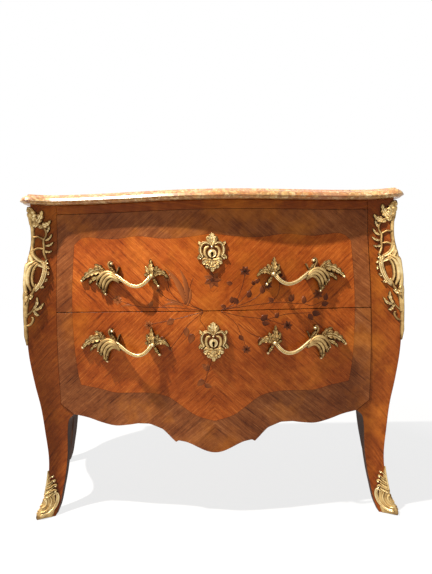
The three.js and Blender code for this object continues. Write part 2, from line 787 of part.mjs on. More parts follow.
// A swelling tube along such a way.
function vine(shares, size, place, sides = 4) {
  const { at, steps } = wayThrough(shares, size);
  return tube(spread(0, 1, steps).map((t) => {
    const { middle, way, across, radius } = at(t);
    const up = new THREE.Vector3().crossVectors(way, across).normalize();
    return circle(0, 0, radius, sides).map(([u, v]) => {
      const p = middle.clone().addScaledVector(up, u).addScaledVector(across, v);
      return place(p.x, p.y, p.z);
    });
  }));
}

// An acanthus leaf along such a way: a ridge down its middle, and lobes that lean to its tip.
function leaf(lobes, shares, size, place) {
  const { at } = wayThrough(shares, size);
  return tube(spread(0, 1, 2 * lobes).map((t, i) => {
    const { middle, way, across, radius } = at(t);
    const lobe = i % 2;
    const half = radius * (lobe ? 1 : LEAF_NOTCH_SHARE);
    const rib = (side, high) => {
      const p = middle.clone().addScaledVector(across, side * half);
      if (side) p.addScaledVector(way, lobe * radius * LEAF_LEAN_SHARE);
      return place(p.x, p.y, middle.z * high);
    };
    return [rib(1, LEAF_EDGE_SHARE), rib(0, 1), rib(-1, LEAF_EDGE_SHARE)];
  }));
}
const LEAF_NOTCH_SHARE = 0.5; // half width at a notch against a lobe's
const LEAF_LEAN_SHARE = 0.45; // of a lobe to the tip, against its half width
const LEAF_EDGE_SHARE = 0.3; // height of a leaf's edge against its ridge
const SUNK_SHARE = 0.2; // of a casting's projection, below the carrier's face

// The same places on one side of a casting's middle: 1 or -1, or a share to draw them in.
function aside(side, shares) {
  return shares.map(([along, ...rest]) => [along * side, ...rest]);
}

// Leaves of a list of [lobes, places], on one side.
function leaves(side, list, size, place) {
  return list.map(([lobes, shares]) => leaf(lobes, aside(side, shares), size, place));
}

// A skin through rings, each end closed by a fan from its first point.
function tube(rings) {
  const count = rings[0].length;
  const faces = [];
  for (let r = 0; r < rings.length - 1; r += 1) {
    for (let i = 0; i < count; i += 1) {
      const a = r * count + i;
      const b = r * count + (i + 1) % count;
      faces.push([a, b, b + count], [a, b + count, a + count]);
    }
  }
  const end = (rings.length - 1) * count;
  for (let i = 1; i < count - 1; i += 1) {
    faces.push([0, i + 1, i], [end, end + i, end + i + 1]);
  }
  return solid(rings.flat(), faces);
}

// A round boss on the front.
function boss(x, z, r, out, sides) {
  const disc = (high, shrink) => circle(0, 0, r * shrink, sides)
    .map(([u, v]) => onFront(x + u, z + v, high));
  return loft([disc(-out * SUNK_SHARE, 1), disc(out / 2, 1), disc(out, DOME_SHARE)], ["x", "z"]);
}
const DOME_SHARE = 0.6;

// Drawer handle: a grip that sags from a leafy double scroll, outward, to a leaf cluster, inward.
const gripShares = [
  [0.25, -0.36, 0.2, 0.1], [0.305, -0.2, 0.36, 0.18], [0.3, -0.04, 0.44, 0.2], [0.26, 0.1, 0.5, 0.22],
  [0.19, 0.19, 0.56, 0.24], [0.12, 0.17, 0.64, 0.24], [0.04, 0.02, 0.78, 0.19], [-0.04, -0.14, 0.9, 0.15],
  [-0.1, -0.22, 0.92, 0.15], [-0.17, -0.24, 0.93, 0.16], [-0.24, -0.16, 0.9, 0.16], [-0.3, 0, 0.6, 0.2],
  [-0.32, 0.06, 0.5, 0.16],
];
const innerScrollShares = [[0.1, 0.12, 0.5, 0.16], [0.19, 0, 0.46, 0.18], [0.21, -0.24, 0.3, 0.14]];
const curlShares = [[0.13, 0.16, 0.4, 0.12], [0.18, 0.38, 0.4, 0.1], [0.14, 0.46, 0.3, 0.1]];
const handleLeafShares = [ // [lobes, places]
  [3, [[0.19, 0.02, 0.4, 0.3], [0.3, 0.2, 0.5, 0.42], [0.42, 0.12, 0.4, 0.36], [0.5, -0.07, 0.2, 0.1]]],
  [1, [[0.22, 0.14, 0.4, 0.2], [0.29, 0.3, 0.46, 0.28], [0.35, 0.42, 0.2, 0.08]]],
  [2, [[-0.29, -0.04, 0.6, 0.3], [-0.31, 0.24, 0.66, 0.38], [-0.3, 0.53, 0.2, 0.1]]],
  [2, [[-0.29, -0.02, 0.6, 0.3], [-0.4, 0.13, 0.56, 0.36], [-0.495, -0.02, 0.2, 0.1]]],
  [1, [[-0.32, 0, 0.5, 0.2], [-0.355, -0.13, 0.42, 0.24], [-0.385, -0.26, 0.2, 0.08]]],
];

function handle(drawer) {
  const size = new THREE.Vector3(HANDLE_LONG, HANDLE_TALL, HANDLE_OUT);
  const z = drawer.handle;
  const place = (along, up, out) => onFront(HANDLE_X + along, z + up, out);
  const pieces = [
    vine(gripShares, size, place),
    vine(innerScrollShares, size, place, 3),
    vine(curlShares, size, place, 3),
    ...leaves(1, handleLeafShares, size, place),
    ...boltPlaces.map((x) => boss(x, z, BOSS_R, HANDLE_OUT * BOSS_SHARE, 6)),
  ];
  const studs = boltPlaces.map((x) => {
    const ends = [frontY(x, z) - BOSS_R, innerY(x) + NUT_THICK];
    return prism(circle(x, z, STUD_R, 6), "y", ...ends);
  });
  return join([casting(pieces).subtract(frontBoard(drawer, BRONZE_SEAT)), ...studs]);
}
const BOSS_SHARE = 0.5; // of the handle's projection

function nut(drawer, x) {
  const seat = innerY(x) - LOCK_LET_IN + SEAT;
  return prism(circle(x, drawer.handle, NUT_R, 6), "y", seat, seat + NUT_THICK)
    .subtract(prism(
      circle(x, drawer.handle, STUD_R + SEAT, 6), "y", seat - THROUGH, seat + THROUGH + NUT_THICK,
    ));
}

// Escutcheon: a domed shield with the keyhole, open scrolls each side, leaves above and below.
const escScrollShares = [
  [0.02, 0.32, 0.5, 0.34], [0.2, 0.22, 0.5, 0.32], [0.36, 0.19, 0.5, 0.38], [0.46, 0.06, 0.5, 0.42],
  [0.4, -0.12, 0.5, 0.4], [0.28, -0.27, 0.5, 0.38], [0.04, -0.32, 0.45, 0.32],
];
const escMiddleLeafShares = [
  [2, [[0, 0.14, 0.6, 0.5], [0, 0.32, 0.9, 1.3], [0, 0.48, 0.5, 0.5]]],
  [2, [[0, -0.14, 0.6, 0.6], [0, -0.32, 0.9, 1.2], [0, -0.52, 0.4, 0.4]]],
];
const escSideLeafShares = [[1, [[0.02, -0.2, 0.6, 0.6], [0.2, -0.27, 0.7, 0.7], [0.36, -0.3, 0.3, 0.2]]]];
const ESC_DISC_SHARE = 0.2; // radius of the dome against the height
const ESC_CENTRE_SHARE = 0.05; // middle of the casting above its keyhole

function escutcheon(drawer) {
  const size = new THREE.Vector3(ESC_WIDE, ESC_TALL, ESC_OUT);
  const middle = drawer.key + ESC_TALL * ESC_CENTRE_SHARE;
  const place = (along, up, out) => onFront(along, middle + up, out);
  const hole = keyhole(drawer.key, [frontY(0, drawer.key) - 2 * ESC_OUT, -SEAM_DEPTH]);
  return casting([
    boss(0, drawer.key, ESC_TALL * ESC_DISC_SHARE, ESC_OUT, 8),
    ...[1, -1].map((side) => vine(aside(side, escScrollShares), size, place)),
    ...[1, -1].flatMap((side) => leaves(side, escSideLeafShares, size, place)),
    ...leaves(1, escMiddleLeafShares, size, place),
  ]).subtract(frontBoard(drawer, BRONZE_SEAT)).subtract(hole);
}

// Corner mount: a leaf cap, branches with open windows between them and the stem on the arris, a
// pierced cartouche of C-scrolls about a swelling shell, an S-strand, a leafy sprig and a tail.
const mountSpineShares = [
  [0, 0, 0.4, 0.5], [0, -0.08, 0.5, 0.7], [0, -0.16, 0.4, 0.5], [0, -0.3, 0.4, 0.5], [0, -0.38, 0.4, 0.6],
  [0, -0.52, 0.4, 0.6], [0, -0.66, 0.35, 0.5], [0, -0.8, 0.35, 0.45],
  [0, -0.92, 0.3, 0.36], [0, -1, 0.2, 0.2],
];
const mountStrandShares = [ // on both faces
  [ // branch, side by side with the stem
    [0.05, -0.14, 0.4, 0.26], [0.42, -0.16, 0.35, 0.24], [0.62, -0.195, 0.35, 0.24],
    [0.7, -0.26, 0.35, 0.24], [0.66, -0.32, 0.35, 0.24], [0.76, -0.38, 0.35, 0.26],
  ],
  [ // outer C-scroll of the cartouche
    [0, -0.34, 0.4, 0.34], [0.42, -0.395, 0.4, 0.34], [0.76, -0.4, 0.4, 0.3], [0.9, -0.425, 0.4, 0.3],
    [0.9, -0.47, 0.4, 0.34], [0.74, -0.525, 0.4, 0.32], [0.5, -0.57, 0.35, 0.28],
    [0.22, -0.62, 0.35, 0.28], [0, -0.68, 0.4, 0.26],
  ],
];
const mountFrontStrandShares = [
  [[0, -0.22, 0.4, 0.24], [0.36, -0.28, 0.4, 0.22], [0.7, -0.29, 0.35, 0.24]], // tie to the branch
  [[0, -0.29, 0.35, 0.3], [0.36, -0.35, 0.4, 0.28], [0.8, -0.38, 0.35, 0.24]], // band over the cartouche
  [ // inner C-scroll
    [0.42, -0.395, 0.4, 0.28], [0.58, -0.43, 0.35, 0.26], [0.6, -0.475, 0.35, 0.26],
    [0.46, -0.54, 0.35, 0.26], [0.3, -0.6, 0.35, 0.28],
  ],
  [ // stem of the sprig
    [0, -0.87, 0.35, 0.24], [0.26, -0.85, 0.35, 0.22], [0.3, -0.77, 0.35, 0.24], [0.44, -0.71, 0.35, 0.24],
  ],
];
const MOUNT_SIDE_SHARE = 0.7; // reach on the side face against the front face
const mountCapShares = [
  [1, [[0.05, -0.16, 0.5, 0.7], [0.28, -0.1, 0.9, 0.9], [0.4, -0.02, 0.5, 0.2]]],
  [1, [[0.1, -0.17, 0.5, 0.5], [0.5, -0.15, 0.8, 0.7], [0.88, -0.12, 0.4, 0.2]]],
];
const mountRidgeLeafShares = [ // over the arris: the cap's middle leaf and the cartouche's shell
  [2, [[0, -0.16, 0.6, 0.9], [0, -0.08, 1, 1.3], [0, -0.01, 0.9, 0.5]]],
  [2, [[0, -0.37, 0.5, 0.8], [0, -0.48, 1, 1.6], [0, -0.58, 0.5, 0.5]]],
];
const mountSprigShares = [ // on the front only
  [1, [[0.66, -0.27, 0.35, 0.24], [0.86, -0.265, 0.45, 0.34], [1.02, -0.24, 0.3, 0.1]]],
  [1, [[0.64, -0.33, 0.35, 0.24], [0.86, -0.325, 0.45, 0.34], [1.02, -0.3, 0.3, 0.1]]],
  [1, [[0.4, -0.73, 0.4, 0.3], [0.44, -0.69, 0.5, 0.5], [0.48, -0.64, 0.3, 0.1]]],
  [1, [[0.38, -0.74, 0.4, 0.3], [0.6, -0.73, 0.5, 0.5], [0.82, -0.7, 0.3, 0.1]]],
  [1, [[0.36, -0.75, 0.4, 0.3], [0.48, -0.79, 0.5, 0.5], [0.62, -0.81, 0.3, 0.1]]],
];

function cornerMount() {
  const size = new THREE.Vector3(MOUNT_WIDE, MOUNT_LONG, MOUNT_OUT);
  const place = (along, up, out) => onCorner(along, MOUNT_TOP_Z + up, out);
  const pieces = [
    vine(mountSpineShares, size, place),
    ...leaves(1, mountRidgeLeafShares, size, place),
    ...mountFrontStrandShares.map((shares) => vine(aside(-1, shares), size, place, 3)),
    ...leaves(-1, mountSprigShares, size, place),
  ];
  for (const side of [-1, MOUNT_SIDE_SHARE]) {
    pieces.push(...mountStrandShares.map((shares) => vine(aside(side, shares), size, place, 3)));
    pieces.push(...leaves(side, mountCapShares, size, place));
  }
  return casting(pieces).subtract(postBody(BRONZE_SEAT));
}

// Sabot: a shell over the foot's two outer faces, rising leaf by leaf to a tip on the arris, with a
// C-scroll on each face and a curled toe.
const sabotScrollShares = [
  [0.45, 0.47, 0.7, 0.6], [0.7, 0.43, 0.8, 0.8], [0.92, 0.3, 0.8, 0.9], [0.84, 0.17, 0.8, 0.9],
  [0.5, 0.07, 0.9, 0.8], [0.1, 0.05, 1, 0.7],
];
const sabotLeafShares = [ // [lobes, places] on each face
  [1, [[0.2, 0.47, 1, 0.9], [0.46, 0.53, 1.4, 1.5], [0.74, 0.6, 0.8, 0.3]]],
  [1, [[0.1, 0.62, 1, 0.9], [0.3, 0.68, 1.4, 1.4], [0.52, 0.77, 0.8, 0.3]]],
];
// Upper edge of the shoe, leafy: [share of SABOT_WRAP, share of SABOT_TALL]
const sabotEdgeShares = [
  [0, 1], [0.2, 0.72], [0.42, 0.6], [0.6, 0.5], [0.8, 0.34], [1, 0.1],
];
const SABOT_TOE = 7; // how far the toe stands out beyond the shoe
// Bulge of the toe: [share of SABOT_TALL, share of SABOT_TOE]
const toeShares = [[0, 0.45], [0.05, 0.9], [0.1, 1], [0.2, 0.7], [0.35, 0.25], [0.6, 0], [1, 0]];

function sabot() {
  const reach = sabotEdgeShares.map(([along]) => along * SABOT_WRAP);
  const columns = [...reach.slice(1).reverse().map((p) => -p), ...reach];
  const rings = columns.map((p) => {
    const top = SABOT_TALL * smooth(sabotEdgeShares, Math.abs(p) / SABOT_WRAP);
    const rows = spread(0, 1, 4).map((t) => top * t * t);
    const fade = Math.cos(Math.PI * p / SABOT_WRAP / 2);
    const toe = (z) => SABOT_TOE * smooth(toeShares, z / SABOT_TALL) * fade;
    const outer = rows.map((z) => onCorner(p, z, SABOT_THICK + toe(z)));
    const inner = [onCorner(p, top, -SEAT), onCorner(p, 0, -SABOT_THICK)];
    return [...outer, ...inner];
  });
  const size = new THREE.Vector3(SABOT_WRAP, SABOT_TALL, SABOT_THICK);
  const pieces = [tube(rings)];
  for (const side of [-1, 1]) {
    pieces.push(vine(aside(side, sabotScrollShares), size, onCorner, 3));
    pieces.push(...leaves(side, sabotLeafShares, size, onCorner));
  }
  const under = block([0, 2 * CORNER_X], [-2 * CORNER_DEPTH, 0], [-SABOT_TALL, 0]);
  return casting(pieces).subtract(postBody(BRONZE_SEAT)).subtract(under);
}

// Materials and assembly

const finishes = {
  veneer: { color: 0xa85a2a, roughness: 0.35, metalness: 0 },
  stile_veneer: { color: 0x9a5a2a, roughness: 0.35, metalness: 0 },
  oak: { color: 0x9c7a52, roughness: 0.7, metalness: 0 },
  pine: { color: 0xb09068, roughness: 0.75, metalness: 0 },
  marble: { color: 0xe0c090, roughness: 0.2, metalness: 0 },
  bronze: { color: 0xc8a860, roughness: 0.35, metalness: 1 },
  lock_brass: { color: 0xb59a5a, roughness: 0.4, metalness: 1 },
};

const commode = new THREE.Group();
commode.position.y = (OVERHANG - frontY(0, CASE_TOP)) / 2;

function add(name, body, finish, flipped = false) {
  const made = body.getMesh();
  const geometry = new THREE.BufferGeometry();
  geometry.setAttribute("position", new THREE.BufferAttribute(made.vertProperties, 3));
  geometry.setIndex(new THREE.BufferAttribute(made.triVerts, 1));
  geometry.computeVertexNormals();
  const mesh = new THREE.Mesh(geometry, new THREE.MeshStandardMaterial(finishes[finish]));
  mesh.name = name;
  if (flipped) mesh.scale.x = -1;
  commode.add(mesh);
}

function addPair(name, body, finish) {
  add(name + "_right", body, finish);
  add(name + "_left", body, finish, true);
}

addPair("post_front", frontPost(), "stile_veneer");
addPair("post_rear", rearPost(), "stile_veneer");
addPair("side_panel", sidePanel(), "veneer");
add("front_top_rail", frontTopRail(), "veneer");
add("divider_rail", dividerRail(), "oak");
add("front_bottom_rail", frontBottomRail(), "oak");
add("back_rail_top", backRail(backTopZ).subtract(backGroove()), "pine");
add("back_rail_middle", backRail(backMiddleZ)
  .subtract(middleGrooves()).subtract(boardRoom(dividerZ)), "pine");
add("back_rail_bottom", backRail(backLowZ).subtract(backGroove()).subtract(boardRoom(lowRailZ)), "pine");
add("back_panel_upper", backPanel(backMiddleZ[1], backTopZ[0]), "pine");
add("back_panel_lower", backPanel(backLowZ[1], backMiddleZ[0]), "pine");
addPair("runner_upper", runner(dividerZ[1]), "oak");
addPair("runner_lower", runner(lowRailZ[1]), "oak");
addPair("kicker", kicker(), "oak");
add("dust_board", board(dividerZ, 0), "pine");
add("bottom_board", board(lowRailZ, 0), "pine");
add("sub_top_board", subTop(), "pine");
add("marble_top", marbleTop(), "marble");
addPair("corner_mount", cornerMount(), "bronze");
addPair("sabot", sabot(), "bronze");

for (const level of ["upper", "lower"]) {
  const drawer = drawers[level];
  const name = level + "_drawer_";
  add(name + "front", drawerFront(drawer), "veneer");
  addPair(name + "side", drawerSide(drawer), "oak");
  add(name + "back", drawerBack(drawer), "oak");
  add(name + "bottom", drawerBottom(drawer, 0), "pine");
  add(level + "_lock_case", lockCase(drawer), "lock_brass");
  add(level + "_lock_bolt", lockBolt(drawer), "lock_brass");
  add(level + "_lock_strike", strike(drawer.lockUnder), "lock_brass");
  add(level + "_escutcheon", escutcheon(drawer), "bronze");
  addPair(level + "_handle", handle(drawer), "bronze");
  addPair(level + "_nut_outer", nut(drawer, boltPlaces[0]), "lock_brass");
  addPair(level + "_nut_inner", nut(drawer, boltPlaces[1]), "lock_brass");
}

export default commode;
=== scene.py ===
"""A bombe commode chest: its veneers, marquetry, marble and gilt bronze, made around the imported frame.

Metres, +Z up, the front faces -Y, +X is the viewer's right.
"""
import math

import bpy
import numpy as np
from mathutils import Matrix, Vector


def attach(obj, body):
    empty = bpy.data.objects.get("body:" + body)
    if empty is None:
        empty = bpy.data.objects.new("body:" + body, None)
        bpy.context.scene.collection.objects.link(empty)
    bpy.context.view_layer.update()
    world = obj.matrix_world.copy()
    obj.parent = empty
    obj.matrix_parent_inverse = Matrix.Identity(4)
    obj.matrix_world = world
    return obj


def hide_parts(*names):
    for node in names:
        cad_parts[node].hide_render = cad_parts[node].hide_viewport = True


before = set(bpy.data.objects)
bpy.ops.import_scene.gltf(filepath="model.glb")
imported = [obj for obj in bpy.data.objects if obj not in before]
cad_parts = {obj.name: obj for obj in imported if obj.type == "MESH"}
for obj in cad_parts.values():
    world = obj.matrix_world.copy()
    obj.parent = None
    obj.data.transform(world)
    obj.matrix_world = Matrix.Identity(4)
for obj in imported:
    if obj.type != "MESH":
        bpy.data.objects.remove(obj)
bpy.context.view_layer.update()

# Driving dimensions of the case, as the frame has them
HEIGHT = 0.880  # floor to marble
MARBLE = 0.027  # thickness of the slab
CORNER_X = 0.493  # half width between the front arrises, as a plumb line
CORNER_DEPTH = 0.430  # back plane to front arris
SEAM_X = 0.426  # half width of the drawer opening
SEAM_DEPTH = 0.410  # back plane to the front at the drawer's end
CROWN = 0.047  # how far the serpentine front bows out at its middle
FLARE = 0.095  # how much wider each side is at the back
SWELL = 0.032  # how far the ankles draw in from the plumb line
TOP_SEAM_Z = 0.828  # underside of the top rail
SEAM_Z = 0.560  # line between the drawers
SHOULDER_Z = 0.304  # where the lower drawer's corner is cut off
KNEE_Z = 0.275  # top of the free leg
NOTCH_Z = 0.207  # the apron's small downward tip
NOTCH_X = 0.106
NOTCH_STEP = 0.004  # rise on the inner side of the tip
NOTCH_GAP = 0.007
APRON_Z = 0.179  # lowest point of the apron
OVERHANG = 0.024  # marble beak beyond the case
EDGE_REACH = 0.021  # how far the marble's moulding draws in above the beak
REVEAL = 0.001  # round the drawer fronts
STILE_DEPTH = 0.090  # front post, arris to back
REAR_STILE = 0.060  # rear post, both ways
LEG_WIDTH = 0.046  # at the ankle
PANEL = 0.020  # side panel thickness
ARRIS_ROUND = 0.0015  # how far the posts' arris is rounded off on each face
ARRIS_WIDE = 0.010  # how far from the arris a bronze turns from one face to the other
KEY_TOP_Z = 0.710  # keyholes of the upper and the lower drawer
KEY_LOW_Z = 0.477

# Surfaces
STEP = 0.004  # spacing of the fine surfaces
NUDGE = 0.001  # way over which a slope is measured
HAIR = 0.0003  # a hair's breadth between touching pieces
TINY = 1e-6  # keeps a division from zero
SAME = 3.2e-5  # points closer than this count as one
VENEER = 0.0019  # thickness of the veneer over a drawer front
VENEER_EDGE = 0.0004  # bevels of the veneer, the posts and the marble
POST_EDGE = 0.0008
SLAB_EDGE = 0.0006
KEY_ROOM = 0.008  # half width of the opening in the veneer round a keyhole

# Marquetry
FIELD_X = 0.382  # half width of the field
FIELD_TOP_Z = 0.738
FIELD_TOP_WAVE = 0.026
FIELD_LOW_Z = 0.265
FIELD_LOW_WAVE = 0.096
FIELD_TURN = math.radians(43)  # grain of the quartered field against the level
BORDER_TURN = math.radians(40)
LINE = 0.0006  # half width of the dark line between field and border
INLAY = 0.00015  # how far an inlay stands before the veneer, too little to feel
STEM = 0.0012  # width of a stem
LEAF_LENGTH = 0.030
PETAL_LENGTH = 0.015

# Relief and cells of the finishes
PORE_DEEP = 0.00004
GRAIN_DEEP = 0.0001
CAST_DEEP = 0.00008
BRUSH_DEEP = 0.00005
BRUSH_CELLS = (60, 60, 1500)  # per metre along each axis
RINGS_ACROSS = 90.0  # cells per metre across a timber's grain
RINGS_ALONG = 5.0
MARBLE_PIECES = 40.0  # cells per metre
MARBLE_BITS = 130.0
MARBLE_WARP = 0.05  # how far the marble's cells are bent
VEIN_SHARE = 0.06  # half width of a vein against its cell

# Bronzes: length, height and projection of each casting
SINK = 0.0006  # how far a casting's underside lies in the wood, so that no light shows under it
CURVATURE = 0.0016  # length that turns a curvature into a share for the patina
HANDLE_LONG = 0.240
HANDLE_TALL = 0.092
HANDLE_OUT = 0.028
HANDLE_X = 0.235  # middle of a handle
HANDLE_GAP = 0.090  # seam between the drawers to the handles above and below it
ESC_WIDE = 0.074
ESC_TALL = 0.102
ESC_OUT = 0.009
DOME_R = 0.0125  # domed middle of the escutcheon
KEY_R = 0.0038  # round part of the keyhole
KEY_SLOT = 0.005  # width of its slot
KEY_DROP = 0.0102  # how far the slot reaches below the round part's middle
MOUNT_TOP_Z = 0.846
MOUNT_LONG = 0.372
MOUNT_WIDE = 0.046  # on the front face
MOUNT_OUT = 0.011
SABOT_TALL = 0.124
SABOT_WRAP = 0.034  # reach of the shoe on each face
SABOT_THICK = 0.004
SABOT_TOE = 0.007  # how far the toe stands out

# Floor, light and camera
FLOOR = 8.0  # half width of the floor
NEAR = 0.9  # round the commode the floor takes light and shadow
FAR = 2.4  # from here on it is plain backdrop
SHADOW_EASE_SHARE = 0.75  # how much of the backdrop's white lightens the shadow by the feet
BACKDROP = 1.06  # strength of the backdrop's white
STUDIO = 0.2  # strength of the studio's surroundings
WHITE = (1, 1, 1)
LAMPS = {  # place, size, power and colour
    "key": ((-1.75, -1.2, 4.3), 0.1, 440, (1, 0.96, 0.9)),
    "fill": ((-2.2, -2.6, 1.8), 2.4, 9, WHITE),
    "rear": ((0.8, 2.6, 2.4), 2.4, 14, WHITE),
}
CAMERA = (0.0166, -1.3518, 0.6220)
ROLL = 0.017  # radians
YAW = 0.0070
FOCAL_PX = 433
IMAGE_LONG_PX = 574
SENSOR_MM = 36
CLIP_START = 0.05

CASE_TOP = HEIGHT - MARBLE
EAR = CORNER_DEPTH - SEAM_DEPTH  # how far the arris stands before the drawer's end
POST_BACK = CORNER_DEPTH - STILE_DEPTH
REAR_X = CORNER_X + FLARE - REAR_STILE
FRONT_HALF = SEAM_X - REVEAL
FRONT_SWELL_SHARE = 0.89  # of the swell, on the front
SIDE_WAVE_SHARE = 0.2  # of the flare, in the sides' plan
SIDE_DROP_SHARE = 0.3  # of the way from knee to notch, by which a side's lower edge hangs

# Swell of the arris: [share of the case's height, share of SWELL]
PROFILE_SHARES = [
    [0, -0.26], [0.03, -0.56], [0.07, -0.76], [0.13, -0.97], [0.19, -1], [0.27, -0.81],
    [0.35, -0.58], [0.43, -0.22], [0.52, 0.11], [0.61, 0.25], [0.7, 0.24], [0.8, 0.04],
    [0.88, -0.25], [0.94, -0.22], [1, -0.1],
]
# Width of a leg's faces: [share of the knee's height, share of LEG_WIDTH]
LEG_SHARES = [
    [0, 0.9], [0.17, 0.88], [0.36, 0.9], [0.5, 0.95], [0.71, 1.09], [0.86, 1.23], [0.95, 1.4], [1, 1.74],
]
# Lower edge of the apron: [share of the way from the notch out to the leg, share of the rise]
APRON_SHARES = [
    [0, 0], [0.05, 0.2], [0.1, 0.43], [0.2, 0.64], [0.32, 0.71], [0.46, 0.62], [0.59, 0.57],
    [0.73, 0.69], [0.86, 0.87], [1, 1],
]
# Marble edge from the underside to the top: [share of the thickness, share of EDGE_REACH set in]
EDGE_SHARES = [
    [0, 0.42], [0.1, 0.3], [0.22, 0], [0.32, 0.03], [0.48, 0.13], [0.62, 0.28], [0.76, 0.52],
    [0.86, 0.8], [0.9, 0.84], [1, 1],
]


# Curves and surfaces of the case

def smooth(table, at):
    """A smooth curve through a table of pairs."""
    xs, ys = np.array(table, float).T
    at = np.asarray(at, float)
    last = len(xs) - 1
    i = np.clip(np.searchsorted(xs, at) - 1, 0, last - 1)

    def tangent(k):
        before = np.maximum(k - 1, 0)
        after = np.minimum(k + 1, last)
        return (ys[after] - ys[before]) / (xs[after] - xs[before])

    span = xs[i + 1] - xs[i]
    t = np.clip((at - xs[i]) / span, 0, 1)
    rise = (1 - t) ** 2
    fall = t**2
    return (
        rise * (1 + 2 * t) * ys[i] + rise * t * span * tangent(i)
        + fall * (3 - 2 * t) * ys[i + 1] - fall * (1 - t) * span * tangent(i + 1)
    )


def lerp(a, b, t):
    return a + (b - a) * t


def smoothstep(t):
    t = np.clip(t, 0, 1)
    return t * t * (3 - 2 * t)


def spaced(*stops):
    """Places from the first stop through the others to the last, about STEP apart."""
    spans = [
        np.linspace(a, b, max(2, round(abs(b - a) / STEP) + 1))[:-1]
        for a, b in zip(stops, stops[1:])
    ]
    return np.concatenate([*spans, [stops[-1]]])


def vectors(*parts):
    """Points or values from their components, spread to a common shape."""
    return np.stack(np.broadcast_arrays(*parts), axis=-1)


def swell(z):
    return SWELL * smooth(PROFILE_SHARES, z / CASE_TOP)


def arris_x(z):
    return CORNER_X + swell(z)


def bow(x, z):
    out = np.abs(x)
    t = np.clip((out - SEAM_X) / (arris_x(z) - SEAM_X), 0, 1)
    middle = CROWN * (1 + np.cos(np.pi * out / SEAM_X)) / 2
    return np.where(out <= SEAM_X, middle, EAR * (1 - np.cos(np.pi * t / 2)))


BACK = (OVERHANG + SEAM_DEPTH + FRONT_SWELL_SHARE * swell(CASE_TOP) + CROWN) / 2  # y of the back


def front_y(x, z):
    return BACK - (SEAM_DEPTH + FRONT_SWELL_SHARE * swell(z) + bow(x, z))


def arris_y(z):
    return front_y(arris_x(z), z)


def side_x(y, z):
    t = (y - arris_y(z)) / (BACK - arris_y(z))
    return arris_x(z) + FLARE * (t - SIDE_WAVE_SHARE * np.sin(2 * np.pi * t))


def on_front(x, z, out=0):
    """Points over the front, out before its face."""
    return vectors(x, front_y(x, z) - out, z)


def on_side(y, z, out=0):
    """Points over the right side, out before its face."""
    return vectors(side_x(y, z) + out, y, z)


def leg_width(z):
    return LEG_WIDTH * smooth(LEG_SHARES, z / KNEE_Z)


def post_inner(z, outer, stile):
    """Inner face of a post, whose outer face is at outer(z) and whose stile's is at stile."""
    knee = outer(KNEE_Z) - leg_width(KNEE_Z)
    above = lerp(knee, stile, np.clip((z - KNEE_Z) / (SHOULDER_Z - KNEE_Z), 0, 1))
    return np.where(z <= KNEE_Z, outer(z) - leg_width(z), above)


def front_post_x(z):
    return post_inner(z, arris_x, SEAM_X)


def front_post_y(z):
    return BACK - post_inner(z, lambda h: BACK - arris_y(h), POST_BACK)


def rear_post_x(z):
    return post_inner(z, lambda h: side_x(BACK, h), REAR_X)


def rear_post_y(z):
    return BACK + post_inner(z, lambda h: 0 * h, -REAR_STILE)


def apron_z(x):
    """Height of the lower drawer's shaped edge."""
    out = np.abs(x)
    knee_x = front_post_x(KNEE_Z) - REVEAL
    shoulder = lerp(KNEE_Z, SHOULDER_Z, (out - knee_x) / (FRONT_HALF - knee_x)) + REVEAL
    rise = smooth(APRON_SHARES, (out - NOTCH_X) / (knee_x - NOTCH_X))
    wave = lerp(NOTCH_Z, KNEE_Z + REVEAL, rise)
    inner = NOTCH_X - NOTCH_GAP
    top = NOTCH_Z + NOTCH_STEP
    step = lerp(top, NOTCH_Z, (out - inner) / NOTCH_GAP)
    middle = lerp(APRON_Z, top, np.sin(np.pi * np.minimum(out / inner, 1) / 2) ** 2)
    return np.select([out > knee_x, out > NOTCH_X, out > inner], [shoulder, wave, step], middle)


def curve(rows, count):
    """Evenly spread rows of a smooth curve through the given ones."""
    rows = np.array(rows, float)
    gaps = np.linalg.norm(np.diff(rows[:, :2], axis=0), axis=1)
    at = np.concatenate([[0], np.cumsum(gaps)])
    t = np.linspace(0, at[-1], count)
    return np.stack([smooth(np.column_stack([at, column]), t) for column in rows.T], axis=1)


def band(line, s, half, lean=0):
    """Places across a band along a curve, at shares s of its half width, leaning on along it."""
    way = np.gradient(line[:, :2], axis=0)
    way /= np.linalg.norm(way, axis=1)[:, None]
    wx, wy = way[:, :1], way[:, 1:]
    return line[:, :1] - wy * s * half + wx * lean, line[:, 1:2] + wx * s * half + wy * lean


# Mesh tools

def grid_faces(rows, columns, wrap=False):
    """Quads over points laid out row by row; wrap joins each row's end to its start."""
    index = np.arange(rows * columns).reshape(rows, columns)
    if wrap:
        index = np.concatenate([index, index[:, :1]], axis=1)
    quads = [index[:-1, :-1], index[:-1, 1:], index[1:, 1:], index[1:, :-1]]
    return np.stack(quads, axis=-1).reshape(-1, 4)


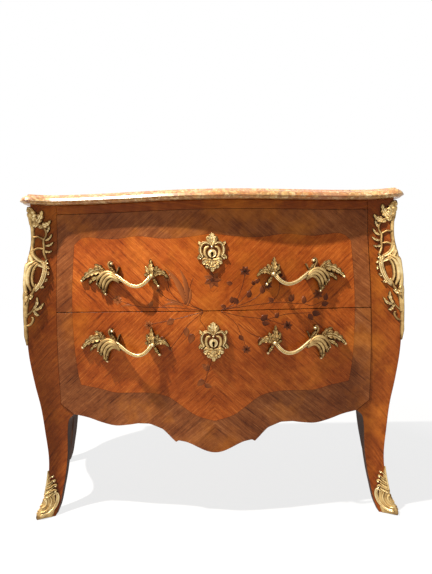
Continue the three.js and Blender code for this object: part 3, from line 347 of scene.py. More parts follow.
class Build:
    """Points, faces and point values of one piece, gathered patch by patch."""

    def __init__(self):
        self.points = []
        self.faces = []
        self.values = {}
        self.count = 0

    def patch(self, points, faces, **values):
        self.points.append(points)
        self.faces += (faces + self.count).tolist()
        for name, value in values.items():
            self.values.setdefault(name, []).append(value.reshape(len(points), -1))
        self.count += len(points)

    def skin(self, outer, inner, **values):
        """Adds a closed sheet between two grids, with the same values on both its sides."""
        count = outer[..., 0].size
        both = {k: np.concatenate([v.reshape(count, -1)] * 2) for k, v in values.items()}
        self.patch(*sheet(outer, inner), **both)

    def mesh(self, name):
        made = bpy.data.meshes.new(name)
        made.from_pydata(np.concatenate(self.points).tolist(), [], self.faces)
        for key, parts in self.values.items():
            value = np.concatenate(parts)
            kind = "FLOAT" if value.shape[1] == 1 else "FLOAT_VECTOR"
            field = "value" if kind == "FLOAT" else "vector"
            attribute = made.attributes.new(key, kind, "POINT")
            attribute.data.foreach_set(field, value.astype(np.float32).ravel())
        made.update()
        return made


def placed(name, data):
    """A new object of the scene, which holds the data."""
    made = bpy.data.objects.new(name, data)
    bpy.context.scene.collection.objects.link(made)
    return made


def piece(name, build, body, material, nodes=()):
    """One object of the commode, on its body, in the place of the nodes it stands for."""
    made = placed(name, build.mesh(name))
    made.data.materials.append(material)
    made.data.shade_smooth()
    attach(made, body)
    if nodes:
        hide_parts(*nodes)
    return made


def bevel(thing, width, angle=35):
    made = thing.modifiers.new("bevel", "BEVEL")
    made.width = width
    made.segments = 2
    made.limit_method = "ANGLE"
    made.angle_limit = math.radians(angle)
    made.harden_normals = True


def sheet(outer, inner):
    """Points and faces of a closed sheet between two grids of the same layout."""
    rows, columns = outer.shape[:2]
    index = np.arange(rows * columns).reshape(rows, columns)
    rim = np.concatenate([index[0, :-1], index[:-1, -1], index[-1, :0:-1], index[:0:-1, 0]])
    after = np.roll(rim, -1)
    faces = grid_faces(rows, columns)
    under = faces[:, ::-1] + rows * columns
    wall = np.stack([after, rim, rim + rows * columns, after + rows * columns], axis=-1)
    points = np.concatenate([outer.reshape(-1, 3), inner.reshape(-1, 3)])
    return points, np.concatenate([faces, under, wall])


def slab(outer, inner, **values):
    """A closed sheet as a piece of its own."""
    build = Build()
    build.skin(outer, inner, **values)
    return build


# Materials

def srgb(red, green, blue):
    """A colour given in 0 to 255, as the shader's linear value."""
    share = np.array([red, green, blue]) / 255
    linear = np.where(share <= 0.04045, share / 12.92, ((share + 0.055) / 1.055) ** 2.4)
    return (*linear.tolist(), 1)


class Shader:
    """A material whose nodes are added and linked by short calls."""

    def __init__(self, name):
        self.material = bpy.data.materials.new(name)
        self.material.use_nodes = True
        self.tree = self.material.node_tree
        self.surface = self.tree.nodes["Principled BSDF"]

    def node(self, kind, inputs=(), **settings):
        made = self.tree.nodes.new(kind)
        for name, value in settings.items():
            setattr(made, name, value)
        for key, value in dict(inputs).items():
            self.feed(made.inputs[key], value)
        return made

    def feed(self, socket, value):
        if isinstance(value, bpy.types.NodeSocket):
            self.tree.links.new(value, socket)
        else:
            socket.default_value = value

    def math(self, operation, *values):
        return self.node("ShaderNodeMath", enumerate(values), operation=operation).outputs[0]

    def attribute(self, name, output="Fac"):
        return self.node("ShaderNodeAttribute", attribute_name=name).outputs[output]

    def position(self):
        return self.node("ShaderNodeTexCoord").outputs["Object"]

    def split(self, vector):
        return self.node("ShaderNodeSeparateXYZ", {0: vector}).outputs

    def vector(self, x, y, z):
        return self.node("ShaderNodeCombineXYZ", {0: x, 1: y, 2: z}).outputs[0]

    def stretch(self, vector, scale):
        return self.node("ShaderNodeVectorMath", {0: vector, 1: scale}, operation="MULTIPLY").outputs[0]

    def noise(self, vector, scale=1.0, detail=3.0, roughness=0.5, distortion=0.0):
        return self.node("ShaderNodeTexNoise", {
            "Vector": vector, "Scale": scale, "Detail": detail,
            "Roughness": roughness, "Distortion": distortion,
        }).outputs["Fac"]

    def spread(self, value, low, high, to_low=0.0, to_high=1.0):
        return self.node("ShaderNodeMapRange", {
            "Value": value, "From Min": low, "From Max": high, "To Min": to_low, "To Max": to_high,
        }).outputs[0]

    def ramp(self, value, *stops):
        """A run of colours; each stop is its place and its colour in 0 to 255."""
        made = self.node("ShaderNodeValToRGB", {"Fac": value})
        elements = made.color_ramp.elements
        while len(elements) < len(stops):
            elements.new(1)
        for element, (place, *colour) in zip(elements, stops):
            element.position = place
            element.color = srgb(*colour)
        return made.outputs["Color"]

    def mix(self, share, a, b, blend="MIX"):
        made = self.node("ShaderNodeMix", data_type="RGBA", blend_type=blend)
        self.feed(made.inputs["Factor"], share)
        self.feed(made.inputs[6], a)
        self.feed(made.inputs[7], b)
        return made.outputs[2]

    def bump(self, height, distance, strength):
        return self.node("ShaderNodeBump", {
            "Height": height, "Distance": distance, "Strength": strength,
        }).outputs[0]

    def finish(self, **inputs):
        for name, value in inputs.items():
            self.feed(self.surface.inputs[name.replace("_", " ")], value)
        return self.material


def grain_of(shader, along, across, seed):
    """Broad bands, narrow streaks and pores of a straight-grained veneer, each from 0 to 1."""
    def at(long, wide):
        return shader.vector(
            shader.math("MULTIPLY", along, long), shader.math("MULTIPLY", across, wide), seed,
        )

    bands = shader.noise(at(5, 120), detail=4, roughness=0.65)
    streaks = shader.noise(at(16, 760), detail=3, roughness=0.7)
    pores = shader.noise(at(60, 2200), detail=2)
    return bands, streaks, pores


def veneer_material(name, woods):
    """Quartered veneer: the field's and the border's grain run across each other.

    The points' veneer value holds the place on the face, and field the depth inside the field.
    """
    s = Shader(name)
    u, v, seed = s.split(s.attribute("veneer", "Vector"))
    depth = s.attribute("field")
    inside = s.spread(depth, -LINE / 4, LINE / 4)
    v_field = s.math("ABSOLUTE", v)
    cos_f, sin_f = math.cos(FIELD_TURN), math.sin(FIELD_TURN)
    cos_b, sin_b = math.cos(BORDER_TURN), math.sin(BORDER_TURN)

    def turned(a, b, p, q):
        return s.math("ADD", s.math("MULTIPLY", a, p), s.math("MULTIPLY", b, q))

    field = (turned(u, v_field, cos_f, sin_f), turned(u, v_field, -sin_f, cos_f))
    border = (turned(u, v, cos_b, -sin_b), turned(u, v, sin_b, cos_b))
    looks = []
    for (along, across), wood, shift in ((field, woods[0], 0), (border, woods[1], 7)):
        grain = grain_of(s, along, across, s.math("ADD", seed, shift))
        looks.append((wood_colour(s, grain, wood), *grain))
    (field_colour, _, streaks, field_pores), (border_colour, _, _, border_pores) = looks
    colour = s.mix(inside, border_colour, field_colour)
    line = s.math("LESS_THAN", s.math("ABSOLUTE", depth), LINE)
    colour = s.mix(s.math("MULTIPLY", line, 0.6), colour, srgb(52, 28, 18))
    pores = s.math("ADD", field_pores, border_pores)
    roughness = s.spread(streaks, 0.3, 0.7, 0.26, 0.4)
    patches = s.noise(s.position(), scale=5.0, detail=2)
    mottle = s.noise(s.position(), scale=34.0, detail=5, roughness=0.7)
    golden = s.noise(s.position(), scale=8.0, detail=4, roughness=0.6)
    colour = s.mix(s.spread(golden, 0.5, 0.68, 0.0, 0.4), colour, GOLDEN)
    for share in (s.spread(patches, 0.42, 0.62, 0.0, 0.62), s.spread(mottle, 0.44, 0.64, 0.0, 0.7)):
        colour = s.mix(share, colour, s.mix(1.0, colour, DEEPER, "MULTIPLY"))
    return s.finish(
        Base_Color=colour, Roughness=roughness, Specular_IOR_Level=0.12,
        Normal=s.bump(pores, PORE_DEEP, 0.6),
    )


def wood_colour(s, grain, wood):
    """Colour of a wood (dark, body, light) by its grain."""
    dark, body, light = wood
    bands, streaks, pores = grain
    tone = s.math("ADD", s.math("MULTIPLY", bands, 0.45), s.math("MULTIPLY", streaks, 0.55))
    colour = s.ramp(tone, (0.37, *dark), (0.47, *body), (0.53, *body), (0.62, *light))
    fleck = s.spread(pores, 0.36, 0.5, 0.66, 1.0)
    shade = s.node("ShaderNodeCombineColor", {0: fleck, 1: fleck, 2: fleck}).outputs[0]
    return s.mix(1.0, colour, shade, "MULTIPLY")


DEEPER = (0.62, 0.5, 0.4, 1)  # what the darker patches of a veneer keep of its colour
GOLDEN = srgb(214, 128, 40)  # what the sun-bleached patches of a veneer turn to
FIELD_WOOD = ((108, 46, 14), (182, 90, 30), (216, 124, 52))
BORDER_WOOD = ((82, 40, 20), (144, 82, 42), (178, 112, 64))
STILE_WOOD = ((84, 36, 10), (142, 70, 22), (172, 96, 36))


def timber_material(name, dark, body, axis):
    """Plain secondary timber with its grain along an axis of the frame."""
    s = Shader(name)
    scale = [RINGS_ACROSS] * 3
    scale[axis] = RINGS_ALONG
    place = s.stretch(s.position(), scale)
    rings = s.noise(place, detail=4, roughness=0.6, distortion=0.4)
    fine = s.noise(s.stretch(place, (8, 8, 8)), detail=2)
    colour = s.ramp(rings, (0.3, *dark), (0.7, *body))
    colour = s.mix(0.35, colour, s.ramp(fine, (0.3, *dark), (0.6, *body)))
    return s.finish(
        Base_Color=colour, Roughness=0.66, Specular_IOR_Level=0.15,
        Normal=s.bump(fine, GRAIN_DEEP, 0.5),
    )


def marble_material():
    """Yellow and pink breccia: angular pieces in a veined ground, polished."""
    s = Shader("marble")
    place = s.position()
    warp = s.node("ShaderNodeTexNoise", {"Vector": place, "Scale": 9.0, "Detail": 4.0}).outputs["Color"]
    bend = s.stretch(warp, (MARBLE_WARP,) * 3)
    bent = s.node("ShaderNodeVectorMath", {0: place, 1: bend}, operation="ADD").outputs[0]

    def cells(scale, feature, output):
        made = s.node("ShaderNodeTexVoronoi", {"Vector": bent, "Scale": scale}, feature=feature)
        return made.outputs[output]

    def veins(scale, strength):
        edge = cells(scale, "DISTANCE_TO_EDGE", "Distance")
        return s.spread(edge, 0.0, VEIN_SHARE, strength, 0.0)

    big = s.split(cells(MARBLE_PIECES, "F1", "Color"))[0]
    small = s.split(cells(MARBLE_BITS, "F1", "Color"))[1]
    pieces = s.ramp(
        big, (0, 150, 98, 58), (0.3, 188, 146, 84), (0.55, 208, 176, 114), (0.8, 178, 124, 82),
        (1, 216, 192, 142),
    )
    bits = s.ramp(
        small, (0, 112, 62, 34), (0.3, 172, 122, 66), (0.6, 206, 168, 106), (1, 224, 202, 154),
    )
    colour = s.mix(0.6, pieces, bits)
    cloud = s.noise(place, scale=14.0, detail=6, roughness=0.7)
    colour = s.mix(s.spread(cloud, 0.48, 0.64, 0.0, 0.7), colour, srgb(188, 110, 48))
    blush = s.noise(place, scale=9.0, detail=5, roughness=0.65)
    colour = s.mix(s.spread(blush, 0.5, 0.66, 0.0, 0.55), colour, srgb(172, 112, 88))
    colour = s.mix(veins(MARBLE_PIECES, 0.8), colour, srgb(146, 96, 68))
    colour = s.mix(veins(MARBLE_BITS, 0.6), colour, srgb(134, 80, 52))
    return s.finish(Base_Color=colour, Roughness=0.3, Coat_Weight=0.15, Coat_Roughness=0.1)


def bronze_material():
    """Gilt bronze: patina leaves it bright on the ridges, dark and rough in the hollows; painted shade
    darkens its low parts.
    """
    s = Shader("gilt_bronze")
    ridge = s.attribute("ridge")
    patches = s.noise(s.position(), scale=60.0, detail=4, roughness=0.6)
    # patina, wear and painted shade: the ridge value also darkens the low parts of a casting, as painted
    # shade between overlapping pieces
    patina_wear_and_shade = s.math("ADD", ridge, s.spread(patches, 0.3, 0.7, -0.12, 0.12))
    colour = s.ramp(
        patina_wear_and_shade, (0.14, 70, 48, 24), (0.32, 150, 116, 68), (0.52, 206, 174, 114), (0.75, 246, 226, 174),
    )
    roughness = s.spread(patina_wear_and_shade, 0.2, 0.8, 0.6, 0.36)
    grain = s.noise(s.position(), scale=900.0, detail=2)
    return s.finish(
        Base_Color=colour, Metallic=0.8, Roughness=roughness, Normal=s.bump(grain, CAST_DEEP, 0.5),
    )


def brass_material():
    """Brushed and stained brass of the locks and nuts."""
    s = Shader("lock_brass")
    brushed = s.noise(s.stretch(s.position(), BRUSH_CELLS), detail=3)
    stain = s.noise(s.position(), scale=50.0, detail=4)
    colour = s.ramp(stain, (0.35, 120, 94, 48), (0.65, 186, 156, 92))
    return s.finish(
        Base_Color=colour, Metallic=1.0, Roughness=s.spread(brushed, 0.3, 0.7, 0.34, 0.5),
        Normal=s.bump(brushed, BRUSH_DEEP, 0.4),
    )


def inlay_material():
    """Darker woods of the inlaid flowers, shaded leaf by leaf."""
    s = Shader("inlay_woods")
    along, across, seed = s.split(s.attribute("veneer", "Vector"))
    streaks = grain_of(s, along, across, seed)[1]
    tone = s.math("ADD", s.attribute("tone"), s.spread(streaks, 0.3, 0.7, -0.08, 0.08))
    colour = s.ramp(tone, (0, 40, 20, 10), (0.3, 96, 46, 22), (0.55, 146, 80, 38), (0.9, 180, 112, 58))
    return s.finish(Base_Color=colour, Roughness=0.32, Specular_IOR_Level=0.12)


inlay_wood = inlay_material()
veneer = veneer_material("front_veneer", (FIELD_WOOD, BORDER_WOOD))
stile_veneer = veneer_material("stile_veneer", (STILE_WOOD, STILE_WOOD))
OAK = ((128, 94, 58), (170, 134, 90))
oak_along_x = timber_material("oak_x", *OAK, 0)
oak_along_y = timber_material("oak_y", *OAK, 1)
pine_along_x = timber_material("pine_x", (150, 116, 76), (192, 158, 112), 0)
# very dark timber for the faces that look into the case, the legs' inner sides among them: a stain, made
# darker as painted shade for the shade that fills them
stained = timber_material("stained_and_shaded_wood", (44, 26, 16), (78, 48, 30), 2)
marble = marble_material()
bronze = bronze_material()
lock_brass = brass_material()


# Veneer's place on a face: [across the face from its middle, up from the quartering line, leaf]

# Upper edge: [share of SEAM_X, share of FIELD_TOP_WAVE]; lower and side edges alike
FIELD_TOP_SHARES = [
    [0, 1], [0.12, 0.73], [0.24, 0.58], [0.33, 0.63], [0.42, 0.86], [0.49, 0.93], [0.57, 0.78],
    [0.65, 0.73], [0.74, 0.9], [0.8, 1], [0.85, 0.8], [0.9, 0],
]
FIELD_LOW_SHARES = [
    [0, 0], [0.12, 0.17], [0.21, 0.45], [0.29, 0.69], [0.4, 0.79], [0.55, 0.78], [0.64, 0.78],
    [0.73, 0.88], [0.8, 0.94], [0.87, 1],
]
# Side edge: [share of the way up from the lower corner, share of FIELD_X]
FIELD_SIDE_SHARES = [[0, 0.96], [0.1, 0.976], [0.26, 0.99], [0.5, 1], [0.72, 1], [1, 0.992]]


def field_depth(x, z):
    """Distance inside the marquetry field of the front, negative outside it."""
    out = np.abs(x) / SEAM_X
    top = FIELD_TOP_Z + FIELD_TOP_WAVE * smooth(FIELD_TOP_SHARES, out)
    low = FIELD_LOW_Z + FIELD_LOW_WAVE * smooth(FIELD_LOW_SHARES, out)
    corner = FIELD_LOW_Z + FIELD_LOW_WAVE
    side = FIELD_X * smooth(FIELD_SIDE_SHARES, (z - corner) / (FIELD_TOP_Z - corner))
    return np.minimum(np.minimum(top - z, z - low), side - np.abs(x))


def leaf_seed(x, z):
    """A small step between the matched leaves of veneer, so that none is an exact mirror."""
    return 0.15 * (x < 0) + 0.3 * (z < SEAM_Z)


def front_values(points):
    x, z = points[..., 0], points[..., 2]
    return {"veneer": vectors(np.abs(x), z - SEAM_Z, leaf_seed(x, z)), "field": field_depth(x, z)}


def plain_values(points, u, v):
    """Values for a face with one grain: the field runs over all of it."""
    return {"veneer": vectors(u, v, 0.0), "field": np.ones(points.shape[:-1])}


# Drawer fronts

def front_veneer(level, low_edge, low, top, key):
    """The veneer of a drawer front, a little before the frame's board, open under its escutcheon."""
    knee_x = float(front_post_x(KNEE_Z)) - REVEAL
    half = spaced(0, NOTCH_X - NOTCH_GAP, NOTCH_X, knee_x, FRONT_HALF)
    x = np.concatenate([-half[:0:-1], half])
    t = np.linspace(0, 1, round((top - low) / STEP) + 1)[:, None]
    z = lerp(low_edge(x)[None, :], top, t)
    outer = on_front(x, z, VENEER)
    build = slab(outer, on_front(x, z, -VENEER), **front_values(outer))
    middles = np.concatenate(build.points)[np.array(build.faces)].mean(axis=1)
    off_key = np.maximum(np.abs(middles[:, 0]), np.abs(middles[:, 2] - key)) > KEY_ROOM
    build.faces = [face for face, kept in zip(build.faces, off_key) if kept]
    made = piece(level + "_drawer_veneer", build, level + "_drawer", veneer)
    bevel(made, VENEER_EDGE)


front_veneer("upper", lambda x: 0 * x + SEAM_Z + REVEAL, SEAM_Z, TOP_SEAM_Z - REVEAL, KEY_TOP_Z)
front_veneer("lower", apron_z, APRON_Z, SEAM_Z - REVEAL, KEY_LOW_Z)


# Inlaid flowers: leaves, petals and stems of darker wood, let into the field.
# Places are shares of SEAM_X: across from the middle, and up from the seam between the drawers.

PETALS = 7
BUD_TURNS = (-24, 0, 24)  # of a bud's leaves against the bud, in degrees
STEM_TONE = 0.2
LEAF_FORM_SHARES = {"leaf": (0.34, 0.25), "blade": (0.07, 0.4)}  # fullness and bend


class Inlay:
    """Inlays of one drawer front."""

    def __init__(self):
        self.build = Build()

    def lay(self, x, z, tone, long, wide):
        """Adds a sheet over the veneer at drawn places, with its tone and its own grain."""
        tone = tone + 0 * x
        grain = vectors(long, wide, tone)
        outer = on_front(x, z, VENEER + INLAY)
        self.build.skin(outer, on_front(x, z, VENEER / 2), tone=tone, veneer=grain)

    def leaf(self, x, z, turn, length, tone, fullness, bend=0.0):
        """A pointed leaf from its base, darker along one side as sand-shaded veneer is."""
        t = np.linspace(0, 1, 15)[:, None]
        s = np.linspace(-1, 1, 7)[None, :]
        half = fullness * length * np.sin(np.pi * t**0.8) ** 0.9
        way = math.radians(turn) + bend * t
        along = length * t
        px = x + along * np.cos(way) - s * half * np.sin(way)
        pz = z + along * np.sin(way) + s * half * np.cos(way)
        shade = tone + 0.12 * s + 0.1 * (t - 0.5)
        self.lay(px, pz, shade, along, s * half)

    def flower(self, x, z, turn, radius, tone):
        for k in range(PETALS):
            angle = turn + 360 * k / PETALS
            self.leaf(x, z, angle, radius, tone + 0.08 * (k % 2), fullness=1.9 / PETALS)
        self.leaf(x - radius / 4, z, 0, radius / 2, tone - 0.25, fullness=0.5)

    def stem(self, points):
        px, pz = band(curve(points, 40), np.linspace(-1, 1, 3)[None, :], STEM / 2)
        self.lay(px, pz, STEM_TONE, 0, 0)


# [kind, across, up, turn in degrees, size against the usual, tone]
UPPER_SPRAY_SHARES = [
    ["flower", 0.2, 0.24, 10, 1, 0.2], ["leaf", 0.15, 0.04, 112, 0.7, 0.22],
    ["leaf", 0.21, 0.08, 48, 0.7, 0.24], ["leaf", 0.3, 0.1, 72, 0.75, 0.3],
    ["leaf", 0.41, 0.16, 30, 0.8, 0.3], ["leaf", 0.47, 0.05, 40, 0.8, 0.34],
    ["flower", 0.66, 0.09, 20, 1, 0.3], ["leaf", 0.56, 0.035, 62, 0.7, 0.34],
    ["leaf", 0.37, 0.045, 120, 0.6, 0.3], ["flower", 0, 0.19, 0, 1.6, 0.34],
    ["blade", -0.17, 0.04, 96, 3.7, 0.5], ["blade", -0.165, 0.04, 77, 3.2, 0.46],
    ["blade", -0.16, 0.03, 58, 1.8, 0.5], ["blade", -0.18, 0.03, 138, 1.8, 0.52],
    ["blade", -0.2, 0.04, 160, 1.6, 0.5], ["flower", -0.6, 0.075, 15, 0.95, 0.5],
    ["blade", -0.5, 0.035, 160, 1.2, 0.52], ["leaf", -0.4, 0.035, 28, 0.6, 0.5],
    ["bud", 0.245, 0.155, 60, 0.8, 0.24], ["bud", -0.33, 0.12, 120, 0.8, 0.5],
    ["flower", -0.28, 0.21, 40, 0.8, 0.5], ["leaf", 0.26, 0.17, 20, 0.55, 0.26],
    ["leaf", 0.12, 0.16, 150, 0.55, 0.3], ["bud", 0.42, 0.2, 80, 0.8, 0.26],
    ["flower", 0.34, 0.15, 30, 0.85, 0.24], ["leaf", 0.7, 0.05, 60, 0.7, 0.28],
    ["leaf", 0.68, 0.03, -10, 0.7, 0.26], ["leaf", 0.11, 0.045, 70, 0.6, 0.26],
    ["leaf", 0.08, 0.02, 150, 0.5, 0.3],
]
UPPER_STEM_SHARES = [
    [[0.05, 0.005], [0.13, 0.04], [0.175, 0.13], [0.2, 0.22]],
    [[0.05, 0.005], [0.16, 0.03], [0.27, 0.08], [0.32, 0.14]],
    [[0.14, 0.03], [0.2, 0.09], [0.245, 0.15]],
    [[0.05, 0.005], [0.24, 0.03], [0.42, 0.045], [0.56, 0.035], [0.65, 0.08]],
    [[0.34, 0.04], [0.4, 0.09], [0.42, 0.19]],
    [[0.56, 0.035], [0.62, 0.02], [0.7, 0.05]],
    [[-0.06, 0.005], [-0.14, 0.05], [-0.14, 0.14], [-0.12, 0.2]],
    [[-0.06, 0.005], [-0.19, 0.05], [-0.28, 0.08], [-0.33, 0.12]],
    [[-0.06, 0.005], [-0.26, 0.025], [-0.45, 0.03], [-0.59, 0.07]],
    [[-0.2, 0.05], [-0.26, 0.12], [-0.28, 0.2]],
]
LOWER_SPRAY_SHARES = [
    ["leaf", 0.29, -0.06, 20, 0.8, 0.22], ["leaf", 0.3, -0.075, -25, 0.7, 0.26],
    ["flower", 0.46, -0.1, 5, 0.9, 0.22], ["leaf", 0.62, -0.02, -30, 0.8, 0.24],
    ["leaf", 0.6, -0.03, -75, 0.7, 0.26], ["leaf", 0.27, -0.2, 30, 0.7, 0.28],
    ["flower", 0.2, -0.24, 30, 0.85, 0.3], ["leaf", 0.16, -0.15, -70, 0.6, 0.3],
    ["leaf", 0.38, -0.05, 40, 0.6, 0.3], ["flower", -0.4, -0.085, 25, 0.9, 0.46],
    ["leaf", -0.24, -0.05, 200, 0.8, 0.44], ["leaf", -0.12, -0.14, 230, 0.9, 0.4],
    ["leaf", -0.16, -0.1, 250, 0.8, 0.44], ["leaf", -0.3, -0.16, 215, 0.8, 0.44],
    ["leaf", -0.04, -0.36, 120, 0.7, 0.42], ["leaf", -0.05, -0.37, 60, 0.7, 0.46],
    ["leaf", -0.06, -0.43, 200, 0.8, 0.44], ["leaf", -0.06, -0.45, -40, 0.7, 0.42],
    ["bud", 0.38, -0.19, -30, 0.8, 0.28], ["bud", -0.26, -0.22, 240, 0.8, 0.44],
    ["blade", 0.02, -0.3, 60, 1.3, 0.5],
]
LOWER_STEM_SHARES = [
    [[0.05, -0.005], [0.17, -0.035], [0.33, -0.06], [0.45, -0.1]],
    [[0.05, -0.005], [0.13, -0.07], [0.17, -0.15], [0.2, -0.23]],
    [[0.15, -0.08], [0.24, -0.15], [0.38, -0.19]],
    [[0.33, -0.06], [0.45, -0.03], [0.61, -0.025]],
    [[-0.06, -0.005], [-0.08, -0.05], [-0.05, -0.1], [-0.04, -0.13]],
    [[-0.06, -0.005], [-0.22, -0.045], [-0.39, -0.08]],
    [[-0.06, -0.005], [-0.15, -0.08], [-0.21, -0.16], [-0.26, -0.22]],
    [[0, -0.27], [-0.03, -0.35], [-0.06, -0.45]],
]


def spray(level, shares, stems):
    """The inlaid flowers of one drawer front."""
    inlay = Inlay()
    for points in stems:
        inlay.stem([[SEAM_X * across, SEAM_Z + SEAM_X * up] for across, up in points])
    for kind, across, up, turn, size, tone in shares:
        x, z = SEAM_X * across, SEAM_Z + SEAM_X * up
        if kind == "flower":
            inlay.flower(x, z, turn, PETAL_LENGTH * size, tone)
        elif kind == "bud":
            for lean in BUD_TURNS:
                inlay.leaf(x, z, turn + lean, PETAL_LENGTH * size, tone, fullness=0.3)
        else:
            inlay.leaf(x, z, turn, LEAF_LENGTH * size, tone, *LEAF_FORM_SHARES[kind])
    piece(level + "_inlay", inlay.build, level + "_drawer", inlay_wood)


spray("upper", UPPER_SPRAY_SHARES, UPPER_STEM_SHARES)
spray("lower", LOWER_SPRAY_SHARES, LOWER_STEM_SHARES)


# Posts, panels and rails

def mirrored(build):
    """The same piece on the left side."""
    made = Build()
    made.points = [p * (-1, 1, 1) for p in build.points]
    made.faces = [face[::-1] for face in build.faces]
    made.values = build.values
    return made


def pair(name, right, body, material, node):
    """A right piece and its mirror image on the left, each in the place of its node."""
    return [
        piece(f"{name}_{side}", build, body, material, [f"{node}_{side}"])
        for side, build in (("right", right), ("left", mirrored(right)))
    ]


def ring_piece(rings, values):
    """A closed skin through rings of points, with flat ends."""
    rows, columns = rings.shape[:2]
    faces = grid_faces(rows, columns, wrap=True).tolist()
    faces.append(list(range(columns))[::-1])
    faces.append(list(range((rows - 1) * columns, rows * columns)))
    build = Build()
    build.points = [rings.reshape(-1, 3)]
    build.faces = faces
    build.values = {k: [np.asarray(v).reshape(rows * columns, -1)] for k, v in values.items()}
    return build


def stain_and_shade_inside(made, columns, inner):
    """Gives a post's last faces round each ring, which look into the case, a very dark stained timber
    whose darkness is partly painted shade.
    """
    made.data.materials.append(stained)
    for face in made.data.polygons:
        if face.loop_total == 4 and face.index % columns >= columns - inner:
            face.material_index = 1


def add_post_pair(which, rings, across, inner):
    """Two posts through rings of points, their last inner faces dark as stain and painted shade; across
    runs round them.
    """
    right = ring_piece(rings, plain_values(rings, across, rings[..., 2]))
    for made in pair(f"{which}_post", right, "carcass", stile_veneer, f"post_{which}"):
        stain_and_shade_inside(made, rings.shape[1], inner)
        bevel(made, POST_EDGE)


def add_front_posts(z):
    """Their rings run across the front face, round the arris, along the side and back inside."""
    in_x, in_y = front_post_x(z), front_post_y(z)
    face = [on_front(lerp(in_x, arris_x(z) - ARRIS_ROUND, t), z) for t in np.linspace(0, 1, 9)]
    soft = vectors(arris_x(z) - ARRIS_ROUND / 3, arris_y(z) + ARRIS_ROUND / 3, z)
    flank = [on_side(lerp(arris_y(z) + ARRIS_ROUND, in_y, t), z) for t in np.linspace(0, 1, 9)]
    rings = np.stack([*face, soft, *flank, vectors(in_x, in_y, z)], axis=1)
    add_post_pair("front", rings, rings[..., 1] - rings[..., 0], 2)


def add_rear_posts(z):
    """Their rings run along the side, across the back and back inside."""
    in_x, in_y = rear_post_x(z), rear_post_y(z)
    flank = [on_side(lerp(in_y, BACK, t), z) for t in np.linspace(0, 1, 7)]
    rings = np.stack([*flank, vectors(in_x, BACK, z), vectors(in_x, in_y, z)], axis=1)
    add_post_pair("rear", rings, rings[..., 1], 3)


def add_side_panels():
    """Veneered sides, whose lower edge slopes from the shoulders to the knees and hangs between."""
    y0, y1 = BACK - POST_BACK, BACK - REAR_STILE
    y = spaced(y0, y1)
    slope_front = front_post_y(KNEE_Z)
    slope_rear = rear_post_y(KNEE_Z)
    front = np.clip((y - y0) / (slope_front - y0), 0, 1)
    rear = np.clip((y1 - y) / (y1 - slope_rear), 0, 1)
    t = np.clip((y - slope_front) / (slope_rear - slope_front), 0, 1)
    drop = (KNEE_Z - NOTCH_Z) * SIDE_DROP_SHARE * np.sin(np.pi * t) ** 2
    foot = lerp(SHOULDER_Z, KNEE_Z, np.minimum(front, rear)) + HAIR - drop
    up = np.linspace(0, 1, round((CASE_TOP - KNEE_Z) / STEP))[:, None]
    z = lerp(foot[None, :], CASE_TOP, up)
    outer = on_side(y, z)
    place = plain_values(outer, np.abs(y - (y0 + y1) / 2), z - SEAM_Z)
    right = slab(outer, on_side(y, z, -PANEL), **place)
    pair("side_veneer", right, "carcass", veneer, "side_panel")


RAIL_GRAIN_SHARE = 0.2  # how much shorter the grain's bands are across the rail


def add_top_rail():
    x = spaced(-SEAM_X, SEAM_X)
    z = np.linspace(TOP_SEAM_Z, CASE_TOP, 7)[:, None]
    outer = on_front(x, z, VENEER / 2)
    place = plain_values(outer, np.abs(x) * RAIL_GRAIN_SHARE, z)
    build = slab(outer, on_front(x, z, -VENEER), **place)
    piece("top_rail_veneer", build, "carcass", stile_veneer)


post_heights = spaced(0, KNEE_Z, SHOULDER_Z, CASE_TOP)
add_front_posts(post_heights)
add_rear_posts(post_heights)
add_side_panels()
add_top_rail()


# Marble top

def marble_outline():
    """Points of the right half of the case's top edge, front to back, and their outward normals."""
    z = CASE_TOP
    corner = (float(arris_x(z)), float(arris_y(z)))
    x = np.linspace(0, corner[0], 70)
    slope = (front_y(x + NUDGE, z) - front_y(x - NUDGE, z)) / (2 * NUDGE)
    outward = vectors(slope, -1.0)
    outward[-1] = (EAR, -CORNER_X)
    turn = np.linspace(-math.pi / 2, 0, 16)[1:-1]
    y = np.linspace(corner[1], float(BACK), 40)
    edge = [vectors(x, front_y(x, z)), np.tile(corner, (len(turn), 1)), vectors(side_x(y, z), y)]
    normals = [outward, vectors(np.cos(turn), np.sin(turn)), vectors(1.0, 0 * y)]
    normals = np.concatenate(normals)
    return np.concatenate(edge), normals / np.linalg.norm(normals, axis=1)[:, None]


def add_marble():
    edge, normals = marble_outline()
    rings = []
    for share in np.linspace(0, 1, 41):
        p = edge + normals * (OVERHANG - EDGE_REACH * smooth(EDGE_SHARES, share))
        p[:, 1] = np.minimum(p[:, 1], BACK)
        right = np.column_stack([p, np.full(len(p), CASE_TOP + MARBLE * share)])
        left = right[:0:-1] * (-1, 1, 1)
        rings.append(np.concatenate([left, right]))
    build = ring_piece(np.stack(rings), {})
    made = piece("marble_slab", build, "carcass", marble, ["marble_top"])
    bevel(made, SLAB_EDGE, angle=50)


add_marble()


# Bronze castings: each is drawn flat as [along, up, out] and laid over its carrier

STRAP_FLUTE_SHARE = 0.5  # depth of a strap's flutes against its thickness
LEAF_NOTCH_SHARE = 0.54  # depth of the notches between a leaf's lobes against its half width
LEAF_LEAN_SHARE = 0.75  # how far a lobe leans to the leaf's tip against its half width
LEAF_RIB_SHARE = 0.27  # relief of the ribs against the leaf's height
# Patina and painted shade: ridges brighten and hollows darken as patina, and the lower a point lies in
# its casting, the darker it is painted, as shade between overlapping pieces
PATINA_AND_SHADE_SHARES = (0.337, 1.4, 0.34)  # brightness of flat metal, and what ridges and height add


